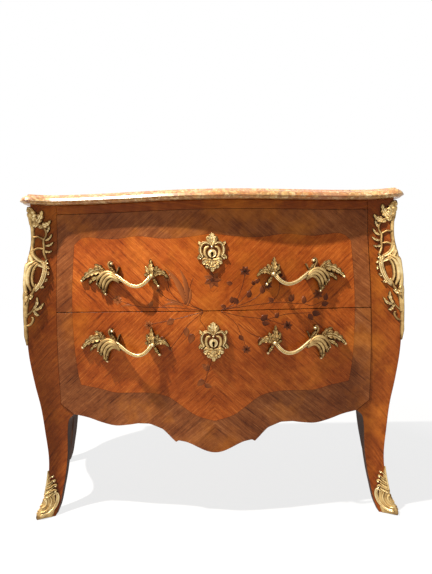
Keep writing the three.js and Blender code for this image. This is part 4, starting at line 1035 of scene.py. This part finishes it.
class Casting:
    """A bronze gathered from straps, leaves and beads; size turns shares into lengths."""

    def __init__(self, size, place):
        self.build = Build()
        self.size = np.array(size)  # of the casting: along, up, out
        self.place = place

    def rows(self, shares):
        """Rows of [along, up, out, half width], the width as a share of the height out."""
        size = np.append(self.size, self.size[2])
        return np.array(shares, float) * size

    def lay(self, flat, under):
        """Adds a closed patch between drawn points and the heights under them."""
        low = flat.copy()
        low[..., 2] = under
        high = np.clip(np.stack([flat, low])[..., 2] / self.size[2], 0, 1)
        outer, inner = (self.place(*np.moveaxis(grid, -1, 0)) for grid in (flat, low))
        self.build.patch(*sheet(outer, inner), high=high)

    def strap(self, shares, flutes=1, rooted=True, count=40, sides=15):
        """A fluted band along a curve."""
        line = curve(self.rows(shares), count)
        s = np.linspace(-1, 1, sides)[None, :]
        high, half = line[:, 2:3], line[:, 3:4]
        arch = np.sqrt(np.maximum(1 - s**2, 0))
        flute = 1 - STRAP_FLUTE_SHARE * np.cos(np.pi * flutes * s / 2) ** 2 * (flutes > 0)
        thick = np.minimum(half, high + SINK)
        flat = vectors(*band(line, s, half), high - thick * (1 - arch * flute))
        self.lay(flat, -SINK if rooted else high - thick * (1 + arch))

    def leaf(self, shares, lobes):
        """A cupped acanthus leaf along its spine, its lobes leaning to the tip."""
        count = lobes * 10 + 1
        line = curve(self.rows(shares), count)
        t = np.linspace(0, 1, count)[:, None]
        s = np.linspace(-1, 1, 17)[None, :]
        side = np.abs(s)
        lobe = np.abs(np.sin(np.pi * lobes * t)) ** 0.6
        half = line[:, 3:4] * (1 - LEAF_NOTCH_SHARE * (1 - lobe))
        lean = LEAF_LEAN_SHARE * line[:, 3:4] * side**1.4 * (1 - t)
        rib = LEAF_RIB_SHARE * (1.4 * side * (lobe - 0.6) + np.exp(-((s * 7) ** 2)))
        rim = np.exp(-(((side - 0.78) / 0.24) ** 2))
        rise = 0.58 + 0.42 * rim + rib
        self.lay(vectors(*band(line, s, half, lean), line[:, 2:3] * rise), -SINK)

    def bead(self, along, up, radius, out):
        """A round boss; the radius is a share of the casting's height."""
        x, y = along * self.size[0], up * self.size[1]
        angle = np.linspace(0, 2 * np.pi, 25)[:, None]
        rho = np.sin(np.linspace(0.04, np.pi / 2, 8))[None, :]
        reach = radius * self.size[1] * rho
        bulge = out * self.size[2] * np.sqrt(1 - 0.96 * rho**2)
        self.lay(vectors(x + reach * np.cos(angle), y + reach * np.sin(angle), bulge), -SINK)

    def half(self, side, straps=(), leaves=(), beads=(), **detail):
        """Ornaments that are drawn for one half, on this side: the share that it reaches, signed."""
        def turned(rows):
            return [[side * along, *rest] for along, *rest in rows]

        for flutes, rows in straps:
            self.strap(turned(rows), flutes=flutes, **detail)
        for lobes, rows in leaves:
            self.leaf(turned(rows), lobes)
        for bead in turned(beads):
            self.bead(*bead)

    def finish(self):
        """The piece with its patina on high ridges and deep hollows, and painted shade that darkens its
        low parts.
        """
        points = np.concatenate(self.build.points)
        quads = np.array(self.build.faces)
        corners = points[quads]
        normal = np.cross(corners[:, 2] - corners[:, 0], corners[:, 3] - corners[:, 1])
        normals = np.zeros_like(points)
        for k in range(4):
            np.add.at(normals, quads[:, k], normal)
        normals /= np.maximum(np.linalg.norm(normals, axis=1), TINY**2)[:, None]
        ends = np.concatenate([quads[:, [k, (k + 1) % 4]] for k in range(4)])
        ends = np.concatenate([ends, ends[:, ::-1]])
        way = points[ends[:, 1]] - points[ends[:, 0]]
        far = np.maximum(np.einsum("ij,ij->i", way, way), SAME**2)
        bend = -np.einsum("ij,ij->i", normals[ends[:, 0]], way) / far * CURVATURE
        count = np.bincount(ends[:, 0], minlength=len(points))
        ridge = np.bincount(ends[:, 0], np.clip(bend, -1, 1), len(points)) / count
        for _ in range(2):
            ridge = (ridge + np.bincount(ends[:, 0], ridge[ends[:, 1]], len(points)) / count) / 2
        high = np.concatenate(self.build.values.pop("high"))[:, 0]
        # painted shade: points low in the casting, under the pieces laid over them, get less brightness
        plain, by_ridge, by_height = PATINA_AND_SHADE_SHARES
        self.build.values["ridge"] = [(plain + by_ridge * ridge + by_height * high)[:, None]]
        return self.build


def on_corner(p, z, out):
    """A drawn point over the right corner: p is negative on the front, positive on the side."""
    turn = np.pi / 2 * smoothstep((p + ARRIS_WIDE) / (2 * ARRIS_WIDE))
    front = p < 0
    x = np.where(front, arris_x(z) + p, side_x(arris_y(z) + np.maximum(p, 0), z))
    y = np.where(front, front_y(arris_x(z) + np.minimum(p, 0), z), arris_y(z) + p)
    return vectors(x + out * np.sin(turn), y - out * np.cos(turn), z)


# Handle: rows of [along, up, out, half width] in shares of its length, height and projection

GRIP_SHARES = [
    [0.15, 0.13, 0.5, 0.24], [0.08, 0.05, 0.66, 0.21], [0.02, -0.05, 0.8, 0.18],
    [-0.05, -0.17, 0.92, 0.165], [-0.11, -0.235, 0.98, 0.165], [-0.165, -0.25, 1, 0.17],
    [-0.22, -0.2, 0.97, 0.175], [-0.265, -0.1, 0.86, 0.18], [-0.3, 0.02, 0.62, 0.19],
    [-0.315, 0.09, 0.4, 0.17],
]
FAN_SHARES = [  # four strands
    [[0.07, -0.03, 0.7, 0.12], [0.12, 0.12, 0.72, 0.15], [0.19, 0.18, 0.72, 0.16],
     [0.25, 0.12, 0.66, 0.16], [0.3, -0.02, 0.54, 0.14], [0.315, -0.14, 0.4, 0.08]],
    [[0.06, -0.06, 0.68, 0.12], [0.11, 0.06, 0.74, 0.15], [0.17, 0.11, 0.76, 0.16],
     [0.225, 0.04, 0.72, 0.16], [0.262, -0.1, 0.6, 0.15], [0.272, -0.24, 0.44, 0.09]],
    [[0.05, -0.09, 0.66, 0.12], [0.1, 0, 0.72, 0.14], [0.15, 0.04, 0.74, 0.15], [0.2, -0.03, 0.7, 0.15],
     [0.232, -0.17, 0.6, 0.15], [0.24, -0.34, 0.46, 0.09]],
    [[0.05, -0.13, 0.6, 0.1], [0.09, -0.06, 0.64, 0.13], [0.13, -0.03, 0.66, 0.14],
     [0.17, -0.09, 0.62, 0.14], [0.2, -0.21, 0.54, 0.13], [0.212, -0.34, 0.46, 0.12],
     [0.222, -0.43, 0.4, 0.08]],
]
TOP_CURL_SHARES = [
    [0.135, 0.2, 0.4, 0.08], [0.165, 0.3, 0.5, 0.09], [0.18, 0.4, 0.5, 0.09], [0.165, 0.48, 0.46, 0.09],
    [0.145, 0.46, 0.4, 0.08], [0.142, 0.4, 0.34, 0.07],
]
SMALL_CURL_SHARES = [
    [0.09, 0.13, 0.4, 0.07], [0.075, 0.22, 0.42, 0.08], [0.06, 0.31, 0.4, 0.07], [0.05, 0.32, 0.34, 0.05],
]
HANDLE_LEAF_SHARES = [  # [lobes, rows]
    [5, [[0.2, 0.14, 0.42, 0.2], [0.28, 0.22, 0.5, 0.42], [0.36, 0.2, 0.48, 0.42],
         [0.44, 0.08, 0.38, 0.3], [0.5, -0.07, 0.3, 0.1]]],
    [3, [[0.22, 0.16, 0.4, 0.12], [0.27, 0.3, 0.5, 0.24], [0.32, 0.39, 0.4, 0.16],
         [0.35, 0.42, 0.3, 0.04]]],
    [3, [[0.25, 0.04, 0.36, 0.12], [0.32, 0.03, 0.42, 0.24], [0.38, -0.06, 0.36, 0.18],
         [0.41, -0.17, 0.28, 0.05]]],
    [3, [[0.1, 0.14, 0.5, 0.1], [0.14, 0.26, 0.5, 0.2], [0.16, 0.34, 0.4, 0.06]]],
    [4, [[0.24, -0.16, 0.36, 0.1], [0.232, -0.28, 0.5, 0.28], [0.23, -0.39, 0.44, 0.22],
         [0.22, -0.47, 0.3, 0.06]]],
    [3, [[0.28, -0.08, 0.36, 0.1], [0.285, -0.2, 0.46, 0.2], [0.278, -0.31, 0.3, 0.05]]],
    [4, [[-0.315, 0, 0.5, 0.18], [-0.31, 0.2, 0.66, 0.34], [-0.303, 0.38, 0.52, 0.22],
         [-0.3, 0.53, 0.34, 0.05]]],
    [4, [[-0.33, 0.02, 0.46, 0.16], [-0.385, 0.13, 0.56, 0.34], [-0.44, 0.12, 0.48, 0.26],
         [-0.495, -0.02, 0.3, 0.07]]],
    [3, [[-0.33, 0.08, 0.42, 0.14], [-0.36, 0.24, 0.46, 0.22], [-0.375, 0.33, 0.34, 0.06]]],
    [3, [[-0.3, 0.06, 0.46, 0.12], [-0.265, 0.2, 0.46, 0.22], [-0.245, 0.33, 0.32, 0.05]]],
    [2, [[-0.29, 0, 0.46, 0.12], [-0.25, 0.08, 0.42, 0.17], [-0.225, 0.1, 0.3, 0.05]]],
    [3, [[-0.33, -0.02, 0.4, 0.14], [-0.355, -0.13, 0.42, 0.2], [-0.38, -0.24, 0.3, 0.06]]],
]
HANDLE_BEAD_SHARES = [  # [along, up, radius, out]
    [0.148, 0.42, 0.06, 0.5], [-0.315, 0.04, 0.08, 0.8], [-0.385, -0.25, 0.05, 0.36],
    [0.215, -0.46, 0.045, 0.4], [0.315, -0.15, 0.045, 0.4], [0.495, -0.06, 0.05, 0.36],
]


def handle(level, height):
    cast = Casting(
        (HANDLE_LONG, HANDLE_TALL, HANDLE_OUT),
        lambda along, up, out: on_front(HANDLE_X + along, height + up, out + VENEER),
    )
    cast.strap(GRIP_SHARES, flutes=3, rooted=False, count=60, sides=21)
    strands = [[0, rows] for rows in (*FAN_SHARES, TOP_CURL_SHARES, SMALL_CURL_SHARES)]
    cast.half(1, strands, HANDLE_LEAF_SHARES, HANDLE_BEAD_SHARES)
    pair(f"{level}_pull", cast.finish(), f"{level}_drawer", bronze, f"{level}_handle")


# Escutcheon, its right half: shares of its width, height and projection

ESC_SCROLL_SHARES = [  # [flutes, rows]
    [2, [[0.08, 0.24, 0.8, 0.4], [0.2, 0.28, 0.9, 0.46], [0.33, 0.26, 0.9, 0.5], [0.41, 0.14, 0.9, 0.54],
         [0.4, 0.02, 0.9, 0.54], [0.34, -0.07, 0.85, 0.46], [0.4, -0.12, 0.7, 0.32]]],
    [0, [[0.1, 0.17, 0.7, 0.36], [0.21, 0.15, 0.8, 0.42], [0.26, 0.06, 0.8, 0.46],
         [0.24, -0.05, 0.8, 0.44], [0.16, -0.13, 0.7, 0.38]]],
    [0, [[0.02, -0.17, 0.7, 0.4], [0.16, -0.16, 0.8, 0.44], [0.27, -0.14, 0.8, 0.38],
         [0.35, -0.18, 0.6, 0.28]]],
    [0, [[0.02, 0.2, 0.8, 0.36], [0.07, 0.28, 0.8, 0.4], [0.14, 0.34, 0.8, 0.38], [0.17, 0.41, 0.8, 0.34],
         [0.1, 0.44, 0.7, 0.26]]],
]
ESC_LEAF_SHARES = [  # [lobes, rows]
    [3, [[0.02, -0.16, 0.6, 0.7], [0.2, -0.22, 0.9, 1.1], [0.36, -0.25, 0.6, 0.4]]],
    [3, [[0.02, -0.18, 0.6, 0.7], [0.12, -0.29, 0.9, 1.1], [0.23, -0.37, 0.6, 0.4]]],
    [2, [[0.3, 0.2, 0.6, 0.4], [0.42, 0.25, 0.85, 0.6], [0.47, 0.32, 0.5, 0.2]]],
    [2, [[0.36, -0.02, 0.6, 0.4], [0.47, -0.08, 0.8, 0.5], [0.5, -0.16, 0.5, 0.16]]],
]
ESC_MIDDLE_LEAF_SHARES = [
    [4, [[0, -0.14, 0.7, 0.8], [0, -0.3, 1, 1.4], [0, -0.42, 0.8, 0.8], [0, -0.485, 0.6, 0.2]]],
    [3, [[0, 0.22, 0.7, 0.7], [0, 0.36, 1, 1.5], [0, 0.46, 0.9, 1], [0, 0.53, 0.7, 0.4]]],
]
ESC_BEAD_SHARES = [[0.42, -0.13, 0.03, 0.7], [0.32, -0.19, 0.03, 0.6]]
ESC_MIDDLE_BEAD_SHARES = [[0, 0.17, 0.035, 1]]
DOME_SHARES = (0.25, 0.6, 0.25)  # of the projection: the dome's foot, its bulge and its rim
DOME_RIM_SHARE = 0.9  # of the radius


def dome(cast):
    """The domed middle, open at the keyhole."""
    angle = np.linspace(0, 2 * np.pi, 73)[:, None]
    share = np.linspace(0, 1, 12)[None, :]
    x, y = np.sin(angle), np.cos(angle)
    by_side = KEY_SLOT / 2 / np.maximum(np.abs(x), TINY)
    by_end = KEY_DROP / np.maximum(-y, TINY)
    hole = np.where(y < 0, np.maximum(KEY_R, np.minimum(by_side, by_end)), KEY_R)
    rho = lerp(hole, DOME_R, share)
    bulge = np.sqrt(np.maximum(1 - (rho / DOME_R) ** 2, 0))
    rim = np.exp(-(((rho / DOME_R) - DOME_RIM_SHARE) * 12) ** 2)
    low, swelling, lip = DOME_SHARES
    cast.lay(vectors(x * rho, y * rho, ESC_OUT * (low + swelling * bulge + lip * rim)), -SINK)


def escutcheon(level, key):
    cast = Casting(
        (ESC_WIDE, ESC_TALL, ESC_OUT),
        lambda along, up, out: on_front(along, key + up, out + VENEER),
    )
    for side in (-1, 1):
        cast.half(side, ESC_SCROLL_SHARES, ESC_LEAF_SHARES, ESC_BEAD_SHARES, count=30)
    cast.half(1, leaves=ESC_MIDDLE_LEAF_SHARES, beads=ESC_MIDDLE_BEAD_SHARES)
    dome(cast)
    nodes = [f"{level}_escutcheon"]
    piece(f"{level}_keyplate", cast.finish(), f"{level}_drawer", bronze, nodes)


# Corner mount: shares of its width on the front, its length and its projection

MOUNT_SIDE_SHARE = 0.7  # reach on the side against the front
MOUNT_SPINE_SHARES = [
    [0, -0.03, 0.6, 0.5], [0, -0.12, 0.5, 0.5], [0, -0.2, 0.5, 0.42], [0, -0.33, 0.5, 0.42],
    [0, -0.42, 0.6, 0.4], [0, -0.5, 0.75, 0.4], [0, -0.58, 0.7, 0.4], [0, -0.66, 0.65, 0.42],
    [0, -0.76, 0.6, 0.42], [0, -0.88, 0.55, 0.4], [0, -0.93, 0.6, 0.42], [0, -0.96, 0.45, 0.34],
    [0, -1, 0.25, 0.16],
]
MOUNT_STRAP_SHARES = [  # [flutes, rows] on the front face
    [0, [[0.1, -0.12, 0.6, 0.34], [0.42, -0.13, 0.6, 0.32], [0.64, -0.16, 0.55, 0.28],
         [0.68, -0.2, 0.5, 0.26], [0.54, -0.24, 0.5, 0.26], [0.6, -0.29, 0.5, 0.28],
         [0.64, -0.33, 0.5, 0.28], [0.86, -0.385, 0.5, 0.24]]],
    [0, [[0.06, -0.22, 0.5, 0.26], [0.26, -0.215, 0.5, 0.26], [0.56, -0.235, 0.5, 0.24]]],
    [0, [[0.06, -0.32, 0.5, 0.26], [0.3, -0.3, 0.5, 0.26], [0.6, -0.305, 0.5, 0.24]]],
    [1, [[0.02, -0.29, 0.6, 0.34], [0.16, -0.35, 0.7, 0.42], [0.44, -0.385, 0.7, 0.44],
         [0.8, -0.4, 0.6, 0.34], [0.9, -0.38, 0.5, 0.22]]],
    [1, [[0.02, -0.35, 0.7, 0.36], [0.22, -0.4, 0.8, 0.42], [0.56, -0.425, 0.8, 0.4],
         [0.84, -0.44, 0.6, 0.3]]],
    [3, [[0.62, -0.4, 0.6, 0.36], [0.8, -0.415, 0.8, 0.46], [0.88, -0.46, 0.9, 0.54],
         [0.8, -0.53, 0.9, 0.54], [0.62, -0.58, 0.8, 0.46], [0.44, -0.61, 0.6, 0.34]]],
    [0, [[0.52, -0.41, 0.7, 0.26], [0.34, -0.44, 0.8, 0.28], [0.27, -0.49, 0.8, 0.28],
         [0.3, -0.545, 0.75, 0.26], [0.4, -0.58, 0.6, 0.22]]],
    [0, [[0.46, -0.4, 0.7, 0.26], [0.2, -0.43, 0.9, 0.3], [0.1, -0.49, 0.95, 0.32],
         [0.14, -0.56, 0.9, 0.3], [0.28, -0.61, 0.6, 0.24]]],
    [0, [[0.36, -0.39, 0.7, 0.26], [0.08, -0.42, 1, 0.3], [0, -0.48, 1, 0.32], [0, -0.55, 0.95, 0.32],
         [0.08, -0.62, 0.7, 0.26]]],
    [0, [[0.5, -0.56, 0.5, 0.3], [0.34, -0.62, 0.5, 0.34], [0.16, -0.665, 0.5, 0.34],
         [0.08, -0.72, 0.5, 0.34], [0.06, -0.8, 0.5, 0.34]]],
    [0, [[0.06, -0.79, 0.4, 0.2], [0.26, -0.765, 0.4, 0.22], [0.44, -0.735, 0.4, 0.22]]],
    [0, [[0.05, -0.86, 0.4, 0.26], [0.2, -0.855, 0.45, 0.28], [0.36, -0.83, 0.5, 0.28],
         [0.4, -0.805, 0.5, 0.26], [0.3, -0.8, 0.4, 0.22]]],
]
MOUNT_EYE_SHARES = (0.5, -0.49)  # middle of the cartouche's opening
MOUNT_FRINGE_SHARES = [  # tips of the small leaves round the cartouche
    [0.94, -0.4], [1.08, -0.435], [1.14, -0.48], [1.06, -0.535], [0.86, -0.59],
]
FRINGE_SHARES = ((0.8, 0.8, 0.5), (0.95, 0.8, 0.6), (1, 0.4, 0.2))  # [way to the tip, out, width]
MOUNT_LEAF_SHARES = [  # [lobes, rows] on the front face
    [4, [[0.12, -0.15, 0.6, 0.5], [0.34, -0.1, 0.9, 0.9], [0.54, -0.055, 0.8, 0.6],
         [0.6, -0.02, 0.6, 0.14]]],
    [4, [[0.3, -0.15, 0.6, 0.4], [0.6, -0.135, 0.8, 0.8], [0.86, -0.115, 0.7, 0.5],
         [1, -0.09, 0.5, 0.14]]],
    [3, [[0.05, -0.14, 0.6, 0.5], [0.1, -0.06, 1, 0.9], [0.06, 0, 0.8, 0.2]]],
    [2, [[0.66, -0.19, 0.45, 0.24], [0.82, -0.16, 0.5, 0.4], [0.9, -0.13, 0.35, 0.1]]],
    [2, [[0.6, -0.245, 0.45, 0.24], [0.84, -0.225, 0.5, 0.4], [1, -0.19, 0.35, 0.1]]],
    [2, [[0.62, -0.28, 0.45, 0.24], [0.88, -0.275, 0.5, 0.42], [1.08, -0.25, 0.35, 0.1]]],
    [2, [[0.62, -0.315, 0.45, 0.24], [0.88, -0.325, 0.5, 0.4], [1.08, -0.315, 0.35, 0.1]]],
    [3, [[0.06, -0.64, 0.5, 0.4], [0.26, -0.655, 0.7, 0.6], [0.4, -0.64, 0.5, 0.14]]],
    [3, [[0.42, -0.745, 0.5, 0.3], [0.6, -0.7, 0.6, 0.5], [0.58, -0.65, 0.4, 0.1]]],
    [3, [[0.44, -0.745, 0.5, 0.3], [0.74, -0.735, 0.6, 0.5], [0.96, -0.695, 0.4, 0.1]]],
    [3, [[0.42, -0.745, 0.5, 0.3], [0.58, -0.78, 0.55, 0.44], [0.72, -0.785, 0.35, 0.1]]],
]
MOUNT_ARRIS_LEAF_SHARES = [  # on the arris, wrapping both faces
    [5, [[0, -0.15, 0.6, 0.9], [0, -0.08, 1, 1.6], [0, -0.03, 0.9, 1], [0, 0, 0.8, 0.2]]],
    [4, [[0, -0.6, 0.8, 0.5], [0, -0.65, 0.9, 0.9], [0, -0.72, 0.5, 0.16]]],
]


def fringe_leaf(along, up):
    """A small leaf, as [lobes, rows], that points away from the cartouche's opening to its tip."""
    eye = MOUNT_EYE_SHARES
    return [1, [
        [lerp(eye[0], along, way), lerp(eye[1], up, way), *section] for way, *section in FRINGE_SHARES
    ]]


def corner_mounts():
    cast = Casting(
        (MOUNT_WIDE, MOUNT_LONG, MOUNT_OUT),
        lambda along, up, out: on_corner(along, MOUNT_TOP_Z + up, out),
    )
    cast.strap(MOUNT_SPINE_SHARES, flutes=0, count=110, sides=17)
    fringe = [fringe_leaf(along, up) for along, up in MOUNT_FRINGE_SHARES]
    for side in (-1, MOUNT_SIDE_SHARE):
        cast.half(side, MOUNT_STRAP_SHARES, [*MOUNT_LEAF_SHARES, *fringe])
    cast.half(1, leaves=MOUNT_ARRIS_LEAF_SHARES)
    pair("corner_bronze", cast.finish(), "carcass", bronze, "corner_mount")


# Sabot: shares of its reach on a face, its height and its thickness

SHOE_SHARE = 0.3  # of the thickness, for the plain shoe under the ornaments
TOE_SHARES = [
    [0, 0], [0.03, 0.66], [0.07, 1.12], [0.12, 1.3], [0.22, 0.9], [0.35, 0.3], [0.6, 0], [1, 0],
]
SABOT_EDGE_SHARES = [
    [0, 1], [0.14, 0.8], [0.36, 0.6], [0.6, 0.46], [0.8, 0.3], [1, 0.04],
]
SABOT_STRAP_SHARES = [
    [3, [[0.58, 0.43, 1.3, 0.4], [0.72, 0.48, 1.4, 0.6], [0.88, 0.43, 1.5, 0.9], [0.95, 0.31, 1.5, 1.1],
         [0.88, 0.19, 1.5, 1.1], [0.68, 0.12, 1.5, 1.1], [0.4, 0.1, 1.3, 1], [0.16, 0.11, 1.1, 0.8]]],
    [0, [[0.34, 0.43, 1.1, 0.4], [0.46, 0.38, 1.2, 0.5], [0.54, 0.3, 1.3, 0.6], [0.46, 0.21, 1.3, 0.6],
         [0.28, 0.16, 1.3, 0.55], [0.12, 0.17, 1.2, 0.5]]],
    [0, [[0.08, 0.4, 1.1, 0.5], [0.2, 0.35, 1.2, 0.5], [0.22, 0.28, 1.3, 0.5], [0.1, 0.24, 1.2, 0.5]]],
    [0, [[0.05, 0.5, 1.1, 0.6], [0.3, 0.53, 1.4, 0.6], [0.56, 0.56, 1.5, 0.5], [0.72, 0.53, 1.4, 0.45],
         [0.68, 0.49, 1.2, 0.4]]],
    [0, [[0.04, 0.6, 1.1, 0.6], [0.26, 0.63, 1.4, 0.55], [0.5, 0.67, 1.5, 0.5], [0.66, 0.65, 1.4, 0.4],
         [0.62, 0.61, 1.2, 0.36]]],
    [0, [[0.03, 0.7, 1, 0.5], [0.2, 0.73, 1.3, 0.5], [0.38, 0.77, 1.4, 0.45], [0.5, 0.76, 1.3, 0.4],
         [0.46, 0.72, 1.1, 0.3]]],
    [0, [[0.02, 0.8, 1, 0.4], [0.14, 0.83, 1.2, 0.4], [0.26, 0.86, 1.2, 0.36], [0.32, 0.84, 1, 0.26]]],
]
SABOT_LEAF_SHARES = [
    [3, [[0.06, 0.44, 1, 0.8], [0.34, 0.47, 1.3, 0.9], [0.56, 0.5, 0.9, 0.3]]],
    [3, [[0.04, 0.54, 1, 0.8], [0.3, 0.58, 1.3, 0.8], [0.5, 0.62, 0.9, 0.25]]],
    [3, [[0.04, 0.64, 1, 0.7], [0.2, 0.68, 1.2, 0.7], [0.38, 0.72, 0.8, 0.2]]],
]
SABOT_BEAD_SHARES = [
    [0.66, 0.51, 0.02, 1.6], [0.6, 0.63, 0.02, 1.6], [0.45, 0.74, 0.02, 1.6], [0.3, 0.85, 0.02, 1.6],
]
SABOT_TIP_SHARES = [
    [0, 0.5, 1, 0.8], [0, 0.7, 1.1, 0.7], [0, 0.86, 1, 0.5], [0, 1, 0.8, 0.15],
]


def on_foot(p, z, out):
    """A drawn point over the right corner at the foot, where the toe stands out."""
    fade = np.cos(np.pi * np.clip(p / SABOT_WRAP, -1, 1) / 2)
    toe = SABOT_TOE * smooth(TOE_SHARES, np.clip(z / SABOT_TALL, 0, 1)) * fade
    return on_corner(p, np.maximum(z, 0), out + toe * (out > 0))


def sabots():
    cast = Casting((SABOT_WRAP, SABOT_TALL, SABOT_THICK), on_foot)
    p = np.linspace(-1, 1, 61)[:, None] * SABOT_WRAP
    edge = SABOT_TALL * smooth(SABOT_EDGE_SHARES, np.abs(p) / SABOT_WRAP)
    cast.lay(vectors(p, edge * np.linspace(0, 1, 41), SABOT_THICK * SHOE_SHARE), -SINK)
    cast.strap(SABOT_TIP_SHARES, flutes=0)
    for side in (-1, 1):
        cast.half(side, SABOT_STRAP_SHARES, SABOT_LEAF_SHARES, SABOT_BEAD_SHARES, sides=19)
    pair("shoe", cast.finish(), "carcass", bronze, "sabot")


for level, sign, key in (("upper", 1, KEY_TOP_Z), ("lower", -1, KEY_LOW_Z)):
    handle(level, SEAM_Z + sign * HANDLE_GAP)
    escutcheon(level, key)
corner_mounts()
sabots()


# Pieces that keep the frame's solids

FINISHES = (  # words in a node's name, and its finish; what has none of them is oak
    (("lock", "nut"), lock_brass),
    (("drawer_side", "runner", "kicker"), oak_along_y),
    (("panel", "board", "drawer_bottom", "back_rail"), pine_along_x),
)


def finish_of(name):
    for words, material in FINISHES:
        if any(word in name for word in words):
            return material
    return oak_along_x


for name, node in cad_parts.items():
    node.data.materials.clear()
    node.data.materials.append(finish_of(name))


# Floor, light and camera

def seen_directly(tree):
    """One for the camera's rays and for those that reach the backdrop by a mirror or through glass."""
    path = tree.nodes.new("ShaderNodeLightPath")
    share = path.outputs["Is Camera Ray"]
    for kind in ("Is Glossy Ray", "Is Transmission Ray"):
        either = tree.nodes.new("ShaderNodeMath")
        either.operation = "MAXIMUM"
        tree.links.new(share, either.inputs[0])
        tree.links.new(path.outputs[kind], either.inputs[1])
        share = either.outputs[0]
    return share


def floor_material():
    """A white floor, which far from the commode goes over into the backdrop."""
    s = Shader("floor")
    x, y = s.split(s.position())[:2]
    flat = s.vector(x, y, 0.0)
    away = s.node("ShaderNodeVectorMath", {0: flat}, operation="LENGTH").outputs["Value"]
    glow = s.node("ShaderNodeEmission", {"Color": (*WHITE, 1), "Strength": BACKDROP}).outputs[0]
    share = s.math("MULTIPLY", s.spread(away, NEAR, FAR, SHADOW_EASE_SHARE, 1.0), seen_directly(s.tree))
    look = s.node("ShaderNodeMixShader", {0: share, 1: s.surface.outputs[0], 2: glow}).outputs[0]
    s.feed(s.tree.nodes["Material Output"].inputs["Surface"], look)
    return s.finish(Base_Color=srgb(188, 188, 188), Roughness=0.9)


def add_floor():
    mesh = bpy.data.meshes.new("floor")
    corners = [(-FLOOR, -FLOOR, 0), (FLOOR, -FLOOR, 0), (FLOOR, FLOOR, 0), (-FLOOR, FLOOR, 0)]
    mesh.from_pydata(corners, [], [(0, 1, 2, 3)])
    mesh.materials.append(floor_material())
    floor = placed("floor", mesh)


def area_light(name, place, size, power, colour):
    """A soft square lamp turned to the commode."""
    data = bpy.data.lights.new(name, "AREA")
    data.size = size
    data.energy = power
    data.color = colour
    made = placed(name, data)
    made.location = place
    made.rotation_mode = "QUATERNION"
    made.rotation_quaternion = (Vector((0, 0, HEIGHT / 2)) - Vector(place)).to_track_quat("-Z", "Y")


def light_world():
    """White where the camera sees it, and a weak even light for the commode."""
    world = bpy.data.worlds.new("studio")
    bpy.context.scene.world = world
    world.use_nodes = True
    tree = world.node_tree
    background = tree.nodes["Background"]
    background.inputs["Color"].default_value = (*WHITE, 1)
    strength = tree.nodes.new("ShaderNodeMapRange")
    strength.inputs["To Min"].default_value = STUDIO
    strength.inputs["To Max"].default_value = 1.0
    tree.links.new(seen_directly(tree), strength.inputs["Value"])
    tree.links.new(strength.outputs["Result"], background.inputs["Strength"])


def add_camera():
    """The camera at the photograph's place, level but for a slight roll and yaw."""
    lens = bpy.data.cameras.new("camera")
    lens.sensor_width = SENSOR_MM
    lens.lens = SENSOR_MM * FOCAL_PX / IMAGE_LONG_PX
    lens.clip_start = CLIP_START
    camera = placed("camera", lens)
    right = Vector((math.cos(YAW), math.sin(YAW), 0))
    up = Vector((0, 0, 1))
    behind = Vector((math.sin(YAW), -math.cos(YAW), 0))
    image_right = right * math.cos(ROLL) - up * math.sin(ROLL)
    image_up = right * math.sin(ROLL) + up * math.cos(ROLL)
    turn = Matrix((image_right, image_up, behind)).transposed()
    camera.matrix_world = Matrix.Translation(CAMERA) @ turn.to_4x4()
    bpy.context.scene.camera = camera


add_floor()
for name, lamp in LAMPS.items():
    area_light(name, *lamp)
light_world()
add_camera()
bpy.context.scene.view_settings.view_transform = "Standard"
